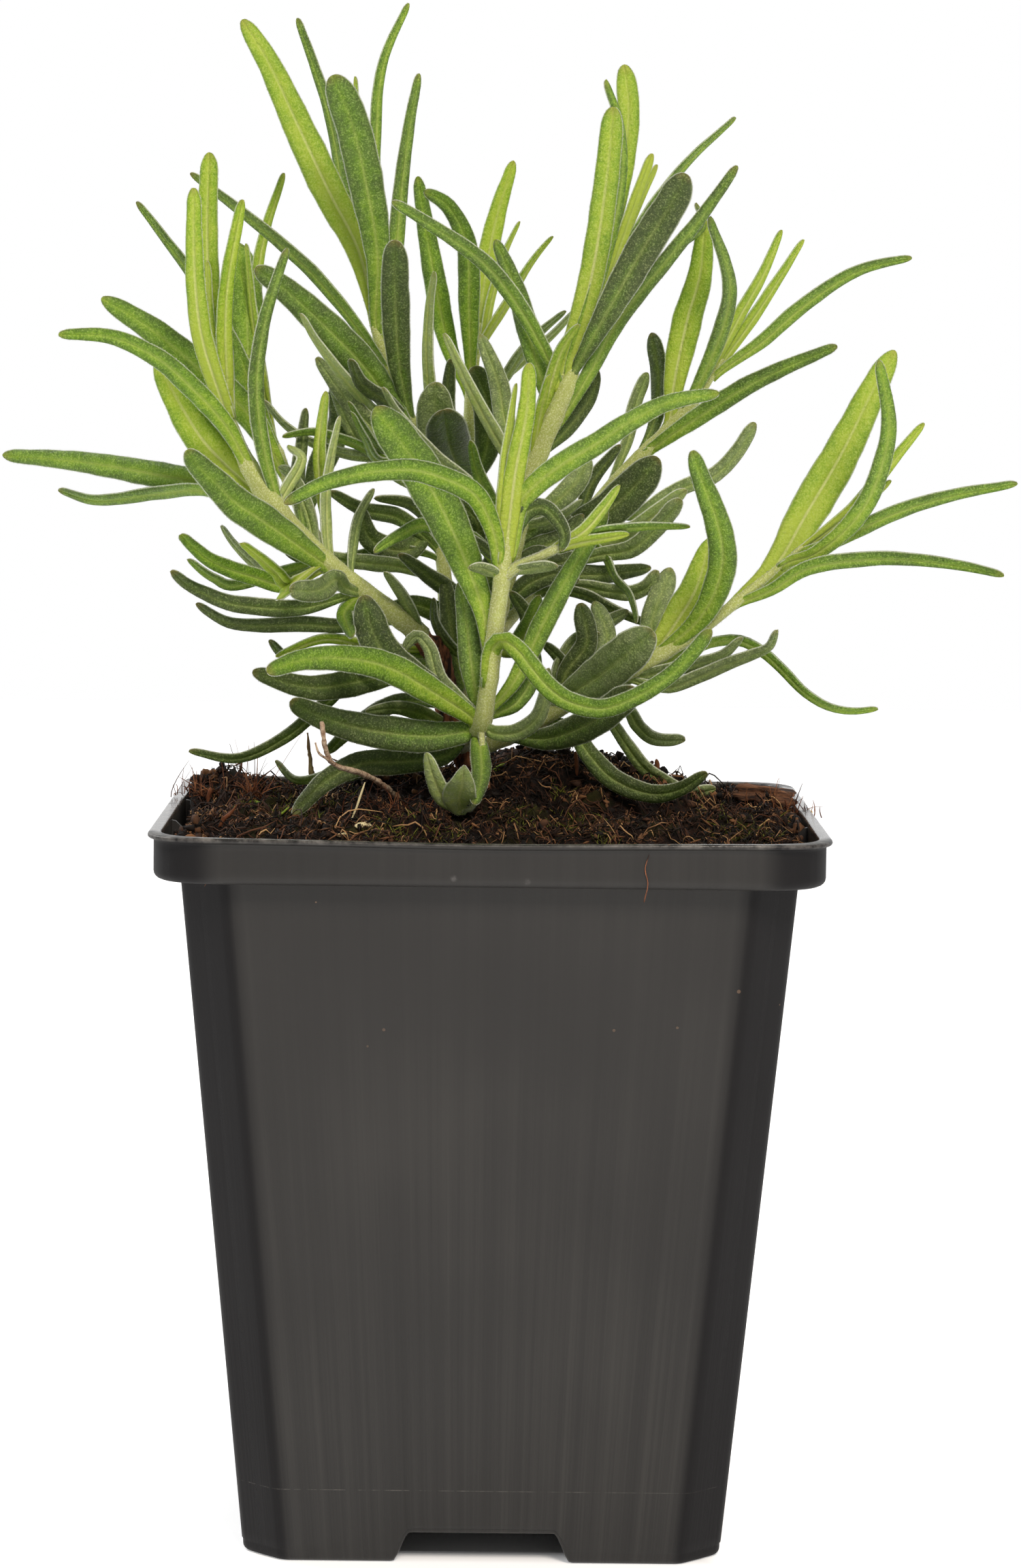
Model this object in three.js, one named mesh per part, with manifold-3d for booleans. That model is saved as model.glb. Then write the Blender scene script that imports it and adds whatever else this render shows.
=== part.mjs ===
// A young lavender plug in a square nursery pot: pot, peat, woody crown, eight shoots and their
// largest leaves. Millimetres, +Z up, +X to the right of the front face, origin under the pot's middle.
import * as THREE from 'three';
import { mergeVertices } from 'three/addons/utils/BufferGeometryUtils.js';
import Module from 'manifold-3d';

const wasm = await Module();
wasm.setup();

// Driving dimensions of the pot, a 90 mm square one.
const POT_HEIGHT = 98.8;
const LIP_HALF = 45;
const LIP_THICK = 0.8;
const LIP_CORNER = 9;
const BAND_HALF = 43.9;
const BAND_BOTTOM = 92.6;
const WALL = 1;
const TOP_HALF = 40.8;
const TOP_FLAT = 34.9;
const FOOT_HALF = 32.3;
const FOOT_FLAT = 26.9;
const EDGE_ROUND = 2;
const FLOOR_UNDER = 3.6;
const FLOOR_TOP = 4.6;
const NOTCH_WIDTH = 22;
const NOTCH_TOP = 17;
const DRAIN_HOLE = 8;
const DRAIN_OFFSET = 16;
// Clearance that touching pieces keep, and the peat's level at the rim.
const GAP = 0.3;
const PEAT_EDGE = 97.4;
// Places on the plant are read from the front, from a spot this far away and this high.
const EYE = new THREE.Vector3(-2.1, -626, 160.3);
// Blade proportions: thickness, width of the leaf's foot and where its round tip begins.
const LEAF_THICK = 0.9;
const LEAF_FOOT = 0.36;
const TIP_START = 0.86;
const LEAF_STEPS = 10;
const LEAF_SIDES = 6;
const STEM_STEPS = 14;

const group = new THREE.Group();

// --- Closed bodies -------------------------------------------------------------------------

// A closed body through rings of equal count, its ends filled by fans.
function loft(rings) {
  const count = rings[0].length;
  const places = rings.flat();
  const faces = [];
  for (let i = 0; i < rings.length - 1; i++) {
    for (let j = 0; j < count; j++) {
      const a = i * count + j;
      const b = i * count + ((j + 1) % count);
      faces.push(a, b, b + count, a, b + count, a + count);
    }
  }
  const last = (rings.length - 1) * count;
  for (const [first, turn] of [[0, -1], [last, 1]]) {
    const middle = places.length;
    const ring = places.slice(first, first + count);
    places.push(ring.reduce((sum, p) => sum.add(p), new THREE.Vector3()).divideScalar(count));
    for (let j = 0; j < count; j++) {
      const a = first + j;
      const b = first + ((j + 1) % count);
      faces.push(middle, ...(turn > 0 ? [a, b] : [b, a]));
    }
  }
  const geometry = new THREE.BufferGeometry().setFromPoints(places);
  geometry.setIndex(faces);
  return geometry;
}

function solid(geometry) {
  const bare = geometry.clone();
  bare.deleteAttribute('normal');
  bare.deleteAttribute('uv');
  const merged = mergeVertices(bare, 1e-5);
  return new wasm.Manifold(new wasm.Mesh({
    numProp: 3,
    vertProperties: new Float32Array(merged.attributes.position.array),
    triVerts: new Uint32Array(merged.index.array),
  }));
}

function surface(manifold) {
  const mesh = manifold.getMesh();
  const geometry = new THREE.BufferGeometry();
  geometry.setAttribute('position', new THREE.BufferAttribute(mesh.vertProperties, 3));
  geometry.setIndex(new THREE.BufferAttribute(mesh.triVerts, 1));
  geometry.computeVertexNormals();
  return geometry;
}

function place(name, body, colour, roughness) {
  const material = new THREE.MeshStandardMaterial({ color: colour, roughness, metalness: 0 });
  const mesh = new THREE.Mesh(surface(body), material);
  mesh.name = name;
  group.add(mesh);
}

// --- Pot -----------------------------------------------------------------------------------

// An outline at height z with each corner of the polygon rounded by a short curve.
function outline(corners, radius, steps, z) {
  return corners.flatMap((corner, i) => {
    const before = corners[(i + corners.length - 1) % corners.length];
    const after = corners[(i + 1) % corners.length];
    const start = corner.clone().add(before.clone().sub(corner).setLength(radius));
    const end = corner.clone().add(after.clone().sub(corner).setLength(radius));
    const bend = new THREE.QuadraticBezierCurve(start, corner, end);
    return bend.getPoints(steps).map((p) => new THREE.Vector3(p.x, p.y, z));
  });
}

// A square of half width `half` whose corners are cut off outside the half flat width `flat`.
function chamfered(half, flat) {
  return [[half, -flat], [half, flat], [flat, half], [-flat, half],
    [-half, flat], [-half, -flat], [-flat, -half], [flat, -half]]
    .map(([x, y]) => new THREE.Vector2(x, y));
}

function wallRing(z, inset) {
  const rise = z / BAND_BOTTOM;
  const half = THREE.MathUtils.lerp(FOOT_HALF, TOP_HALF, rise) - inset;
  const flat = THREE.MathUtils.lerp(FOOT_FLAT, TOP_FLAT, rise) - inset * Math.tan(Math.PI / 8);
  return outline(chamfered(half, flat), EDGE_ROUND, 2, z);
}

function rimRing(half, z) {
  const square = [[half, -half], [half, half], [-half, half], [-half, -half]];
  return outline(square.map(([x, y]) => new THREE.Vector2(x, y)), LIP_CORNER, 7, z);
}

function makePot() {
  const wall = solid(loft([wallRing(0, 0), wallRing(BAND_BOTTOM + 0.5, 0)]));
  const band = solid(loft([
    rimRing(BAND_HALF - 0.9, BAND_BOTTOM),
    rimRing(BAND_HALF, BAND_BOTTOM + 0.9),
    rimRing(BAND_HALF, POT_HEIGHT - LIP_THICK / 2),
  ]));
  const lip = solid(loft([
    rimRing(LIP_HALF, POT_HEIGHT - LIP_THICK),
    rimRing(LIP_HALF, POT_HEIGHT),
  ]));
  const shelf = BAND_BOTTOM + 0.9;
  const hollow = solid(loft([wallRing(FLOOR_TOP, WALL), wallRing(shelf + 0.5, WALL)]));
  const rimHollow = solid(loft([
    rimRing(BAND_HALF - WALL, shelf),
    rimRing(BAND_HALF - WALL, POT_HEIGHT + 1),
  ]));
  const under = solid(loft([wallRing(-1, WALL + 0.2), wallRing(FLOOR_UNDER, WALL + 0.2)]));
  let pot = wall.add(band).add(lip).subtract(hollow).subtract(rimHollow).subtract(under);
  for (const turn of [0, Math.PI / 2]) {
    pot = pot.subtract(solid(footNotch(turn)));
  }
  for (const [x, y] of [[0, 0], [1, 1], [-1, 1], [-1, -1], [1, -1]]) {
    const hole = new THREE.CylinderGeometry(DRAIN_HOLE / 2, DRAIN_HOLE / 2, 4, 16);
    hole.rotateX(Math.PI / 2);
    hole.translate(x * DRAIN_OFFSET, y * DRAIN_OFFSET, FLOOR_UNDER);
    pot = pot.subtract(solid(hole));
  }
  return pot;
}

// The low arch that lets water out under two opposite walls.
function footNotch(turn) {
  const arch = new THREE.Shape();
  const rise = FLOOR_UNDER;
  arch.moveTo(-NOTCH_WIDTH / 2, -1);
  arch.lineTo(NOTCH_WIDTH / 2, -1);
  arch.lineTo(NOTCH_WIDTH / 2, 0);
  arch.quadraticCurveTo(NOTCH_WIDTH / 2 - 0.4, rise, NOTCH_TOP / 2, rise);
  arch.lineTo(-NOTCH_TOP / 2, rise);
  arch.quadraticCurveTo(-NOTCH_WIDTH / 2 + 0.4, rise, -NOTCH_WIDTH / 2, 0);
  arch.closePath();
  const depth = 2 * LIP_HALF;
  const notch = new THREE.ExtrudeGeometry(arch, { depth, bevelEnabled: false, curveSegments: 5 });
  notch.rotateX(Math.PI / 2);
  notch.translate(0, depth / 2, 0);
  return notch.rotateZ(turn);
}

// --- Peat and what lies on it --------------------------------------------------------------

// Low mounds on the peat: middle x, middle y, spread in x, spread in y, height.
const MOUNDS = [
  [6, 4, 24, 22, 7],
  [39, 12, 9, 18, 1.6],
  [-39, 18, 8, 12, 2.4],
];

function peatHeight(x, y) {
  return MOUNDS.reduce((z, [mx, my, sx, sy, rise]) => (
    z + rise * Math.exp(-(((x - mx) / sx) ** 2) - ((y - my) / sy) ** 2)
  ), PEAT_EDGE);
}

function makePeat() {
  const shelf = BAND_BOTTOM + 0.9;
  const edge = outline(chamfered(BAND_HALF - WALL - 0.6, 31), EDGE_ROUND, 2, shelf + GAP);
  const rings = [
    wallRing(FLOOR_TOP + GAP, WALL + GAP),
    wallRing(shelf + GAP, WALL + GAP),
    edge,
  ];
  for (const scale of [1, 0.9, 0.78, 0.64, 0.48, 0.32, 0.16]) {
    rings.push(edge.map((p) => {
      const [x, y] = [p.x * scale, p.y * scale];
      return new THREE.Vector3(x, y, peatHeight(x, y) - (scale === 1 ? 0.6 : 0));
    }));
  }
  return solid(loft(rings));
}

// --- Stems and leaves ----------------------------------------------------------------------

// The true place of a point read at (x, z) in the plant's middle plane and lying y behind it.
function seen(p) {
  const stretch = 1 - p.y / EYE.y;
  return new THREE.Vector3(
    EYE.x + (p.x - EYE.x) * stretch,
    p.y,
    EYE.z + (p.z - EYE.z) * stretch,
  );
}

// A round rod along the points, its radius running from `foot` to `tip`, grown all over by `more`.
function rod(points, [foot, tip], sides, steps, more = 0) {
  const curve = new THREE.CatmullRomCurve3(points, false, 'centripetal');
  const frames = curve.computeFrenetFrames(steps, false);
  const rings = curve.getPoints(steps).map((p, i) => {
    const radius = THREE.MathUtils.lerp(foot, tip, i / steps) + more;
    const beyond = i === 0 ? -more : (i === steps ? more : 0);
    return Array.from({ length: sides }, (_, j) => {
      const angle = (2 * Math.PI * j) / sides;
      return p.clone()
        .addScaledVector(frames.tangents[i], beyond)
        .addScaledVector(frames.normals[i], radius * Math.cos(angle))
        .addScaledVector(frames.binormals[i], radius * Math.sin(angle));
    });
  });
  return solid(loft(rings));
}

// How wide a blade is at t, from its narrow foot (0) over the widest part to the round tip (1).
function bladeWidth(t) {
  const swell = LEAF_FOOT + (1 - LEAF_FOOT) * THREE.MathUtils.smoothstep(t, 0, 0.6);
  const tip = Math.max(0, (t - TIP_START) / (1 - TIP_START));
  return swell * Math.sqrt(Math.max(0.02, 1 - tip * tip));
}

// A blade along the points. One that looks narrow is a wider one turned on its edge.
function blade(points, width) {
  const curve = new THREE.CatmullRomCurve3(points, false, 'centripetal');
  const full = Math.max(width, 0.55 * width + 1.6);
  const turn = Math.acos(width / full);
  const rings = [];
  for (let i = 0; i <= LEAF_STEPS; i++) {
    const t = i / LEAF_STEPS;
    const middle = curve.getPointAt(t);
    const along = curve.getTangentAt(t);
    const facing = EYE.clone().sub(middle).projectOnPlane(along).normalize();
    const side = facing.clone().cross(along);
    const up = facing.clone().applyAxisAngle(along, side.z > 0 ? turn : -turn);
    const across = up.clone().cross(along);
    const half = (full / 2) * bladeWidth(t);
    const thick = (LEAF_THICK / 2) * Math.sqrt(bladeWidth(t));
    rings.push(Array.from({ length: LEAF_SIDES }, (_, j) => {
      const angle = (2 * Math.PI * j) / LEAF_SIDES;
      const reach = half * Math.cos(angle);
      return middle.clone()
        .addScaledVector(across, reach)
        .addScaledVector(up, thick * Math.sin(angle) - 0.12 * Math.abs(reach));
    }));
  }
  return solid(loft(rings));
}

const read = (x, z, y) => new THREE.Vector3(x, y, z);

// Shoots, each with the one it grows from, its radius at foot and tip and its points x, z, y.
const SHOOTS = {
  crown: { from: null, radius: [2.5, 1.7],
    points: [[-2.5, 103, 3], [-4.5, 109, 3], [-6.2, 115, 2.5], [-7.6, 120, 1.5], [-11, 123.6, 0]] },
  left: { from: 'crown', radius: [1.5, 1.2],
    points: [[-9.6, 122.6, 0.6], [-14, 126, -2], [-19, 129.4, -4], [-24.5, 134, -6],
      [-30, 139.8, -8], [-34, 146, -9], [-37, 153, -9.5], [-38.3, 157.5, -10]] },
  left_back: { from: 'left', radius: [1.1, 0.9],
    points: [[-22, 132, -5], [-24.5, 136, 2], [-28.3, 143.5, 9], [-31, 151, 13]] },
  upper_left: { from: 'crown', radius: [1.2, 0.9],
    points: [[-6.6, 117, 2.2], [-6.4, 123, 8], [-7.5, 138, 11], [-11.5, 152, 11],
      [-14, 157.5, 11], [-16.7, 165, 11.5], [-18, 169.5, 12]] },
  back: { from: 'crown', radius: [1.1, 0.9],
    points: [[-5.6, 113, 2.8], [-3.6, 119, 11], [-3.5, 138, 20], [-3.2, 157, 24], [-2, 166, 25]] },
  centre: { from: 'crown', radius: [1.5, 1.1],
    points: [[-4.6, 109.5, 3], [-1, 119, 1.5], [2.5, 134, 1], [5, 145, 0],
      [7, 150.5, -1], [9.7, 157, -2], [12.4, 164, -3]] },
  right: { from: 'centre', radius: [1.1, 0.9],
    points: [[-0.2, 122, 1.4], [4.5, 128, 8], [11, 137, 12], [17.5, 145, 13],
      [24, 151.7, 12], [28.5, 157, 11], [31.5, 161.5, 11]] },
  front: { from: 'crown', radius: [1.3, 1],
    points: [[-4, 107.5, 3], [-3.4, 108.6, -6], [-1.4, 110.2, -14], [-0.4, 116, -17],
      [0.6, 125, -18], [1.5, 132.5, -19], [2.2, 140, -20], [2.5, 144, -20.5]] },
  far_right: { from: 'crown', radius: [1.3, 0.9],
    points: [[-3.6, 106.2, 3], [5, 110, 0], [12, 114.3, -5], [20, 118.5, -9],
      [27.5, 123, -11], [35, 128.8, -13], [43, 135.8, -14]] },
};

// Leaves of each shoot: the points x, z from foot to tip, the depth y of the tip, and the width.
const LEAVES = {
  left: [
    [[[-38.4, 157], [-39.4, 168], [-39.9, 178], [-39.7, 188.9]], -3, 2.8],
    [[[-38.2, 156], [-40.4, 163], [-41.5, 171], [-41.8, 184]], -17, 2.9],
    [[[-35.6, 149.5], [-41, 157], [-46.5, 161.5], [-53, 163.4], [-60.3, 163.7]], -26, 2.9],
    [[[-32.5, 143], [-37, 146.3], [-42, 152], [-47, 159.5]], -2, 4.8],
    [[[-30.5, 140.4], [-38, 142.9], [-48, 144.8], [-58, 146.3], [-68, 147]], 18, 3.7],
    [[[-19.5, 129.8], [-25, 132.4], [-31, 136], [-37, 140.2], [-42.6, 147.5]], -27, 5.2],
    [[[-29.6, 139.5], [-31.8, 148], [-32.9, 157], [-31.8, 166], [-28.8, 175.9]], -20, 2.1],
    [[[-15.5, 127], [-22, 126.9], [-30, 125.7], [-38.5, 126.6], [-44.5, 131.2]], -12, 2.3],
  ],
  left_back: [
    [[[-28.8, 145], [-34, 153], [-40.5, 158.8], [-47, 164.2], [-54.4, 168.8]], 8, 4.5],
    [[[-29.8, 148], [-31.6, 157], [-33.6, 167], [-35.7, 176.5]], 20, 5],
  ],
  upper_left: [
    [[[-17.2, 166.5], [-19.8, 179], [-24.5, 190], [-30, 200.5], [-34.9, 206.5]], 12, 4.8],
    [[[-17, 165.5], [-17.6, 178], [-19.5, 189], [-22.8, 199.4]], -4, 4.6],
    [[[-17.6, 168], [-16.9, 178], [-16.8, 190], [-15.9, 201], [-12.4, 209.5]], 24, 1.6],
    [[[-16, 163], [-14, 174], [-13.2, 184], [-12.2, 192.5], [-10.9, 200]], 16, 2.3],
    [[[-12.2, 152.5], [-13.2, 160], [-13.9, 169], [-14, 177]], -6, 3.7],
    [[[-14.8, 159.5], [-19, 165], [-25.5, 172.6], [-33, 179], [-42.3, 186]], 4, 1.9],
    [[[-10.4, 149], [-17, 158.5], [-23, 164.8], [-29, 170.2], [-33, 173]], -8, 4.4],
  ],
  back: [
    [[[-3.2, 158], [-3.7, 168], [-4.2, 177], [-6.8, 182], [-10, 184]], 12, 3.2],
    [[[-2.2, 164], [-1.6, 172], [-0.2, 180], [2.2, 188.3]], 34, 3],
  ],
  centre: [
    [[[9.6, 157], [3.8, 167.3], [-1.5, 174], [-7.5, 178.3], [-14.5, 182.5]], -16, 2.4],
    [[[8, 153.5], [5, 163], [2.8, 170.5], [-0.2, 177.5]], 12, 3.1],
    [[[12.2, 163.5], [15.6, 175], [17.5, 188], [17.3, 201.3]], 2, 3],
    [[[11.2, 161], [13.4, 175], [15, 186], [15.8, 195.8]], -11, 3.6],
    [[[11, 160], [16, 168.5], [20.5, 178], [25.8, 186.5]], -18, 4.6],
    [[[8, 152], [13.5, 159.8], [19, 169], [25.5, 177.5], [32.8, 187.8]], -8, 3],
    [[[11, 160], [19, 178], [25.5, 187.5], [32.7, 194.5]], 30, 1.6],
  ],
  right: [
    [[[25, 152.7], [26.3, 163], [28, 172], [28.6, 180.5]], 4, 4.3],
    [[[27.5, 155.5], [30.6, 163.5], [32.3, 171.5], [29.3, 181]], -4, 2.4],
    [[[30.5, 160], [36.5, 163.6], [43, 169.3], [50, 173.8], [57.3, 175.7]], 8, 2.1],
    [[[21, 149], [28, 153.3], [36, 158.4], [47.2, 163.5]], -2, 2.9],
  ],
  front: [
    [[[1.8, 134.5], [4.4, 139.7], [8.5, 146], [14.5, 150.6], [22.5, 154.7], [31, 156.7]], -30, 3.5],
    [[[1.4, 132], [-0.9, 139.5], [-5, 144.6], [-12, 146.8], [-20, 146], [-29, 141]], -38, 3.6],
    [[[0.2, 121.5], [-3, 130.5], [-6.8, 139], [-11.5, 147], [-16.3, 154]], -14, 5.2],
    [[[-1.2, 112], [3.2, 116.5], [7, 123.5], [12, 131.5], [15.8, 140]], -14, 3.1],
    [[[-0.2, 117.5], [1.3, 121.6], [5, 118], [9.5, 114.2], [15.5, 113], [22, 114.9],
      [27.5, 119.5], [30.2, 124]], -36, 1.8],
    [[[-1.4, 110.8], [-6.5, 114], [-12, 117], [-19, 118.8], [-31, 117.5]], -42, 4],
    [[[-2, 109.8], [-8, 108.7], [-16, 109.3], [-27.2, 113]], -26, 4.7],
    [[[-3.2, 108.8], [-9, 106.5], [-19, 103.6], [-27, 97.6]], -20, 3.4],
  ],
  far_right: [
    [[[3, 109.2], [8, 109.8], [14, 112.6], [20, 117.2]], -24, 4.2],
    [[[9, 112.5], [12, 116.2], [16, 119], [20.8, 122.8]], -22, 4.2],
    [[[6, 111], [13.5, 107.3], [18, 102.6], [24, 101], [29.9, 104]], -12, 2.7],
    [[[23.5, 120.8], [30.2, 127.5], [31.8, 133.5], [29.8, 140], [27.5, 148.5]], -28, 3],
    [[[34.5, 128.4], [40.5, 138], [46.5, 148], [55, 162.7]], -6, 4.8],
    [[[41.5, 134.6], [50, 143], [54, 152], [52.8, 161.5]], -24, 2.3],
    [[[42.5, 135.5], [51, 138], [62, 142.7], [72.5, 144.8]], -14, 2],
    [[[35, 128.8], [43, 131.8], [54, 134], [71, 131.8]], -24, 2.1],
  ],
};

const STEM_COLOUR = '#a5b45e';
const WOOD_COLOUR = '#6b4a35';
const LEAF_COLOURS = { young: '#8fb63f', grown: '#5f8f35' };
const YOUNG_WIDTH = 2;

const stemPoints = (shoot) => shoot.points.map((p) => read(...p));

// Where on its shoot a leaf read to start at (x, z) sits, and the shoot's direction there.
function footOn(shoot, x, z) {
  const curve = new THREE.CatmullRomCurve3(stemPoints(shoot), false, 'centripetal');
  const off = (t) => Math.hypot(curve.getPoint(t).x - x, curve.getPoint(t).z - z);
  const steps = Array.from({ length: 101 }, (_, i) => i / 100);
  const t = steps.reduce((best, step) => (off(step) < off(best) ? step : best));
  return { middle: curve.getPoint(t), along: curve.getTangent(t) };
}

// A leaf's spine: it leaves the side of its shoot and reaches its tip at the depth given.
function spineOf(shoot, points, tipDepth) {
  const { middle, along } = footOn(shoot, ...points[0]);
  const spine = points.map(([x, z], k) => (
    read(x, z, THREE.MathUtils.lerp(middle.y, tipDepth, k / (points.length - 1)))
  ));
  const away = spine[1].clone().sub(middle).projectOnPlane(along).normalize();
  spine[0] = middle.addScaledVector(away, shoot.radius[1]);
  return spine.map(seen);
}

function makeShoots(peat) {
  const wider = {};
  for (const [name, shoot] of Object.entries(SHOOTS)) {
    const points = stemPoints(shoot).map(seen);
    const sides = shoot.from ? 8 : 10;
    wider[name] = rod(points, shoot.radius, sides, STEM_STEPS, GAP);
    const keeper = shoot.from ? wider[shoot.from] : peat.translate([0, 0, GAP]);
    const body = rod(points, shoot.radius, sides, STEM_STEPS).subtract(keeper);
    place(shoot.from ? `stem_${name}` : name, body, shoot.from ? STEM_COLOUR : WOOD_COLOUR, 0.8);
  }
  return wider;
}

function makeLeaves(wider) {
  for (const [name, leaves] of Object.entries(LEAVES)) {
    leaves.forEach(([points, tipDepth, width], i) => {
      const leaf = blade(spineOf(SHOOTS[name], points, tipDepth), width).subtract(wider[name]);
      const colour = width < YOUNG_WIDTH ? LEAF_COLOURS.young : LEAF_COLOURS.grown;
      place(`leaf_${name}_${i + 1}`, leaf, colour, 0.7);
    });
  }
}

// Dry bits on the peat: a pale looped root, a brown stick and a chip of bark at the right.
const DRY_ROOT = [[-23.5, 110.5, -29], [-23.2, 108, -28], [-22.6, 105.6, -26], [-21.3, 104.4, -24],
  [-18.5, 103.6, -20], [-15.5, 102.2, -14], [-12.5, 99.7, -7]];
const DRY_STICK = [[-25.5, 109, 9], [-25, 104.5, 9], [-24.6, 99.6, 10]];
const BARK = [[-4.3, -1.4], [-1, -1.9], [3.2, -1.6], [4.4, -0.3], [3.8, 1.5], [-0.5, 1.9], [-3.9, 1.2]];
const BARK_THICK = 2;

function makeLitter(peat) {
  const lifted = peat.translate([0, 0, GAP]);
  const root = rod(DRY_ROOT.map((p) => seen(read(...p))), [0.3, 0.45], 6, 16);
  place('dry_root', root.subtract(lifted), '#b39273', 0.9);
  const stick = rod(DRY_STICK.map((p) => seen(read(...p))), [0.35, 0.5], 6, 6);
  place('dry_stick', stick.subtract(lifted), '#6f4f3a', 0.9);
  const chip = new THREE.Shape(BARK.map(([x, y]) => new THREE.Vector2(x, y)));
  const bark = new THREE.ExtrudeGeometry(chip, { depth: BARK_THICK, bevelEnabled: false });
  bark.rotateY(THREE.MathUtils.degToRad(7));
  bark.translate(38.6, 6, 99.6);
  place('bark_chip', solid(bark).subtract(lifted), '#8a5f3f', 0.9);
}

// --- The object ----------------------------------------------------------------------------

const peat = makePeat();
place('pot', makePot(), '#3f3d3b', 0.55);
place('peat', peat, '#3a291f', 1);
makeLitter(peat);
makeLeaves(makeShoots(peat));

export default group;
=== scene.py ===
"""A young lavender in a black square nursery pot: its surfaces, their finish and the studio round it.

+Z is up, +X to the right of the pot's front wall, and the origin is under the pot's middle. Sizes and
places are in millimetres, and become metres where a mesh is made.
"""
import functools
import itertools
import math

import bpy
import numpy as np
from mathutils import Matrix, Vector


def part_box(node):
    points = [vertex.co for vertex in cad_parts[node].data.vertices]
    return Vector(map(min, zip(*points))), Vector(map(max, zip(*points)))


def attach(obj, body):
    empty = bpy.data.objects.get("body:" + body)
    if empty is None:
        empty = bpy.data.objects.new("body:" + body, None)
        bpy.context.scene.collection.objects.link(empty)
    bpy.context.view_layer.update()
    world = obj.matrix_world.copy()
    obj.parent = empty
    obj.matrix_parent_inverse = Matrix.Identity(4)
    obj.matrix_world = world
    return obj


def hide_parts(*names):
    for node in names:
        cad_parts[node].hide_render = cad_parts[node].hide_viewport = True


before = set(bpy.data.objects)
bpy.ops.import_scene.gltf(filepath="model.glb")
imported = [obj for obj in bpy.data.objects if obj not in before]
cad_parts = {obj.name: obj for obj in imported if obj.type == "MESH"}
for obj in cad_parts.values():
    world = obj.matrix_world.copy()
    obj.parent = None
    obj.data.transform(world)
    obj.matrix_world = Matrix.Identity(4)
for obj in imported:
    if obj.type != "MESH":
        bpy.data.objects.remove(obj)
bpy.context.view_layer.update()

MM = 0.001
rng = np.random.default_rng(11)

# --- Camera ----------------------------------------------------------------------------------

EYE = np.array([-2.1, -626.0, 160.3])
EYE_YAW = 0.0079
EYE_PITCH = 0.0926
EYE_ROLL = 0.0128
LENS = 103.6
SENSOR = 36.0
NEAREST_M = 0.01


def stand(name, data, place, right, up, back):
    """Puts a camera or lamp at place, with its own x, y and z along right, up and back."""
    axes = np.eye(4)
    axes[:3] = np.column_stack([right, up, back, np.array(place) * MM])
    thing = bpy.data.objects.new(name, data)
    thing.matrix_world = Matrix(axes.tolist())
    bpy.context.scene.collection.objects.link(thing)
    return thing


def make_camera():
    """Stands at EYE and looks along +Y, turned a little to the right, down and over."""
    flat, dip = math.cos(EYE_PITCH), math.sin(EYE_PITCH)
    ahead = np.array([math.sin(EYE_YAW) * flat, math.cos(EYE_YAW) * flat, -dip])
    right = np.cross(ahead, [0, 0, 1])
    right /= np.linalg.norm(right)
    up = np.cross(right, ahead)
    c, s = math.cos(EYE_ROLL), math.sin(EYE_ROLL)
    data = bpy.data.cameras.new("camera")
    data.lens = LENS
    data.sensor_width = SENSOR
    data.clip_start = NEAREST_M
    bpy.context.scene.camera = stand("camera", data, EYE, right * c + up * s, up * c - right * s, -ahead)


make_camera()

# --- Curves, noise and closed bodies ---------------------------------------------------------

CELLS = 32
LATTICE = rng.random((CELLS, CELLS, CELLS))
OCTAVE_SHIFT = 17.3


def cloud(points, size, octaves=3):
    """Soft noise from -1 to 1: random values on a lattice `size` apart, blended smoothly, to which
    each next octave adds one of half the size and half the strength."""
    total = np.zeros(points.shape[:-1])
    for k in range(octaves):
        place = points / size * 2 ** k + OCTAVE_SHIFT * k
        cell = np.floor(place).astype(int)
        share = place - cell
        share = share * share * (3 - 2 * share)
        for corner in itertools.product((0, 1), repeat=3):
            weight = np.prod(np.where(corner, share, 1 - share), axis=-1)
            index = (cell + corner) % CELLS
            value = LATTICE[index[..., 0], index[..., 1], index[..., 2]]
            total += weight * (2 * value - 1) / 2 ** k
    return total


def smooth(x, low, high):
    """0 below low, 1 above high, and an S curve between them."""
    t = np.clip((x - low) / (high - low), 0, 1)
    return t * t * (3 - 2 * t)


def bells(x, y, table):
    """The sum of bell curves, each listed as middle x, middle y, spread in x, spread in y and height."""
    return sum(rise * np.exp(-((x - mx) / sx) ** 2 - ((y - my) / sy) ** 2) for mx, my, sx, sy, rise in table)


def unit(v):
    """v at length 1."""
    return v / np.linalg.norm(v, axis=-1, keepdims=True)


def square_to(v, along):
    """The directions of v, turned square to `along`."""
    return unit(v - (v * along).sum(-1, keepdims=True) * along)


def seen(points):
    """True places of points given as (x, y, z), whose x and z are read in the plant's middle plane
    and which lie y behind it: they slide along the line of sight through the reading."""
    points = np.asarray(points, float)
    moved = EYE + (points - EYE) * (1 - points[:, 1:2] / EYE[1])
    moved[:, 1] = points[:, 1]
    return moved


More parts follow.
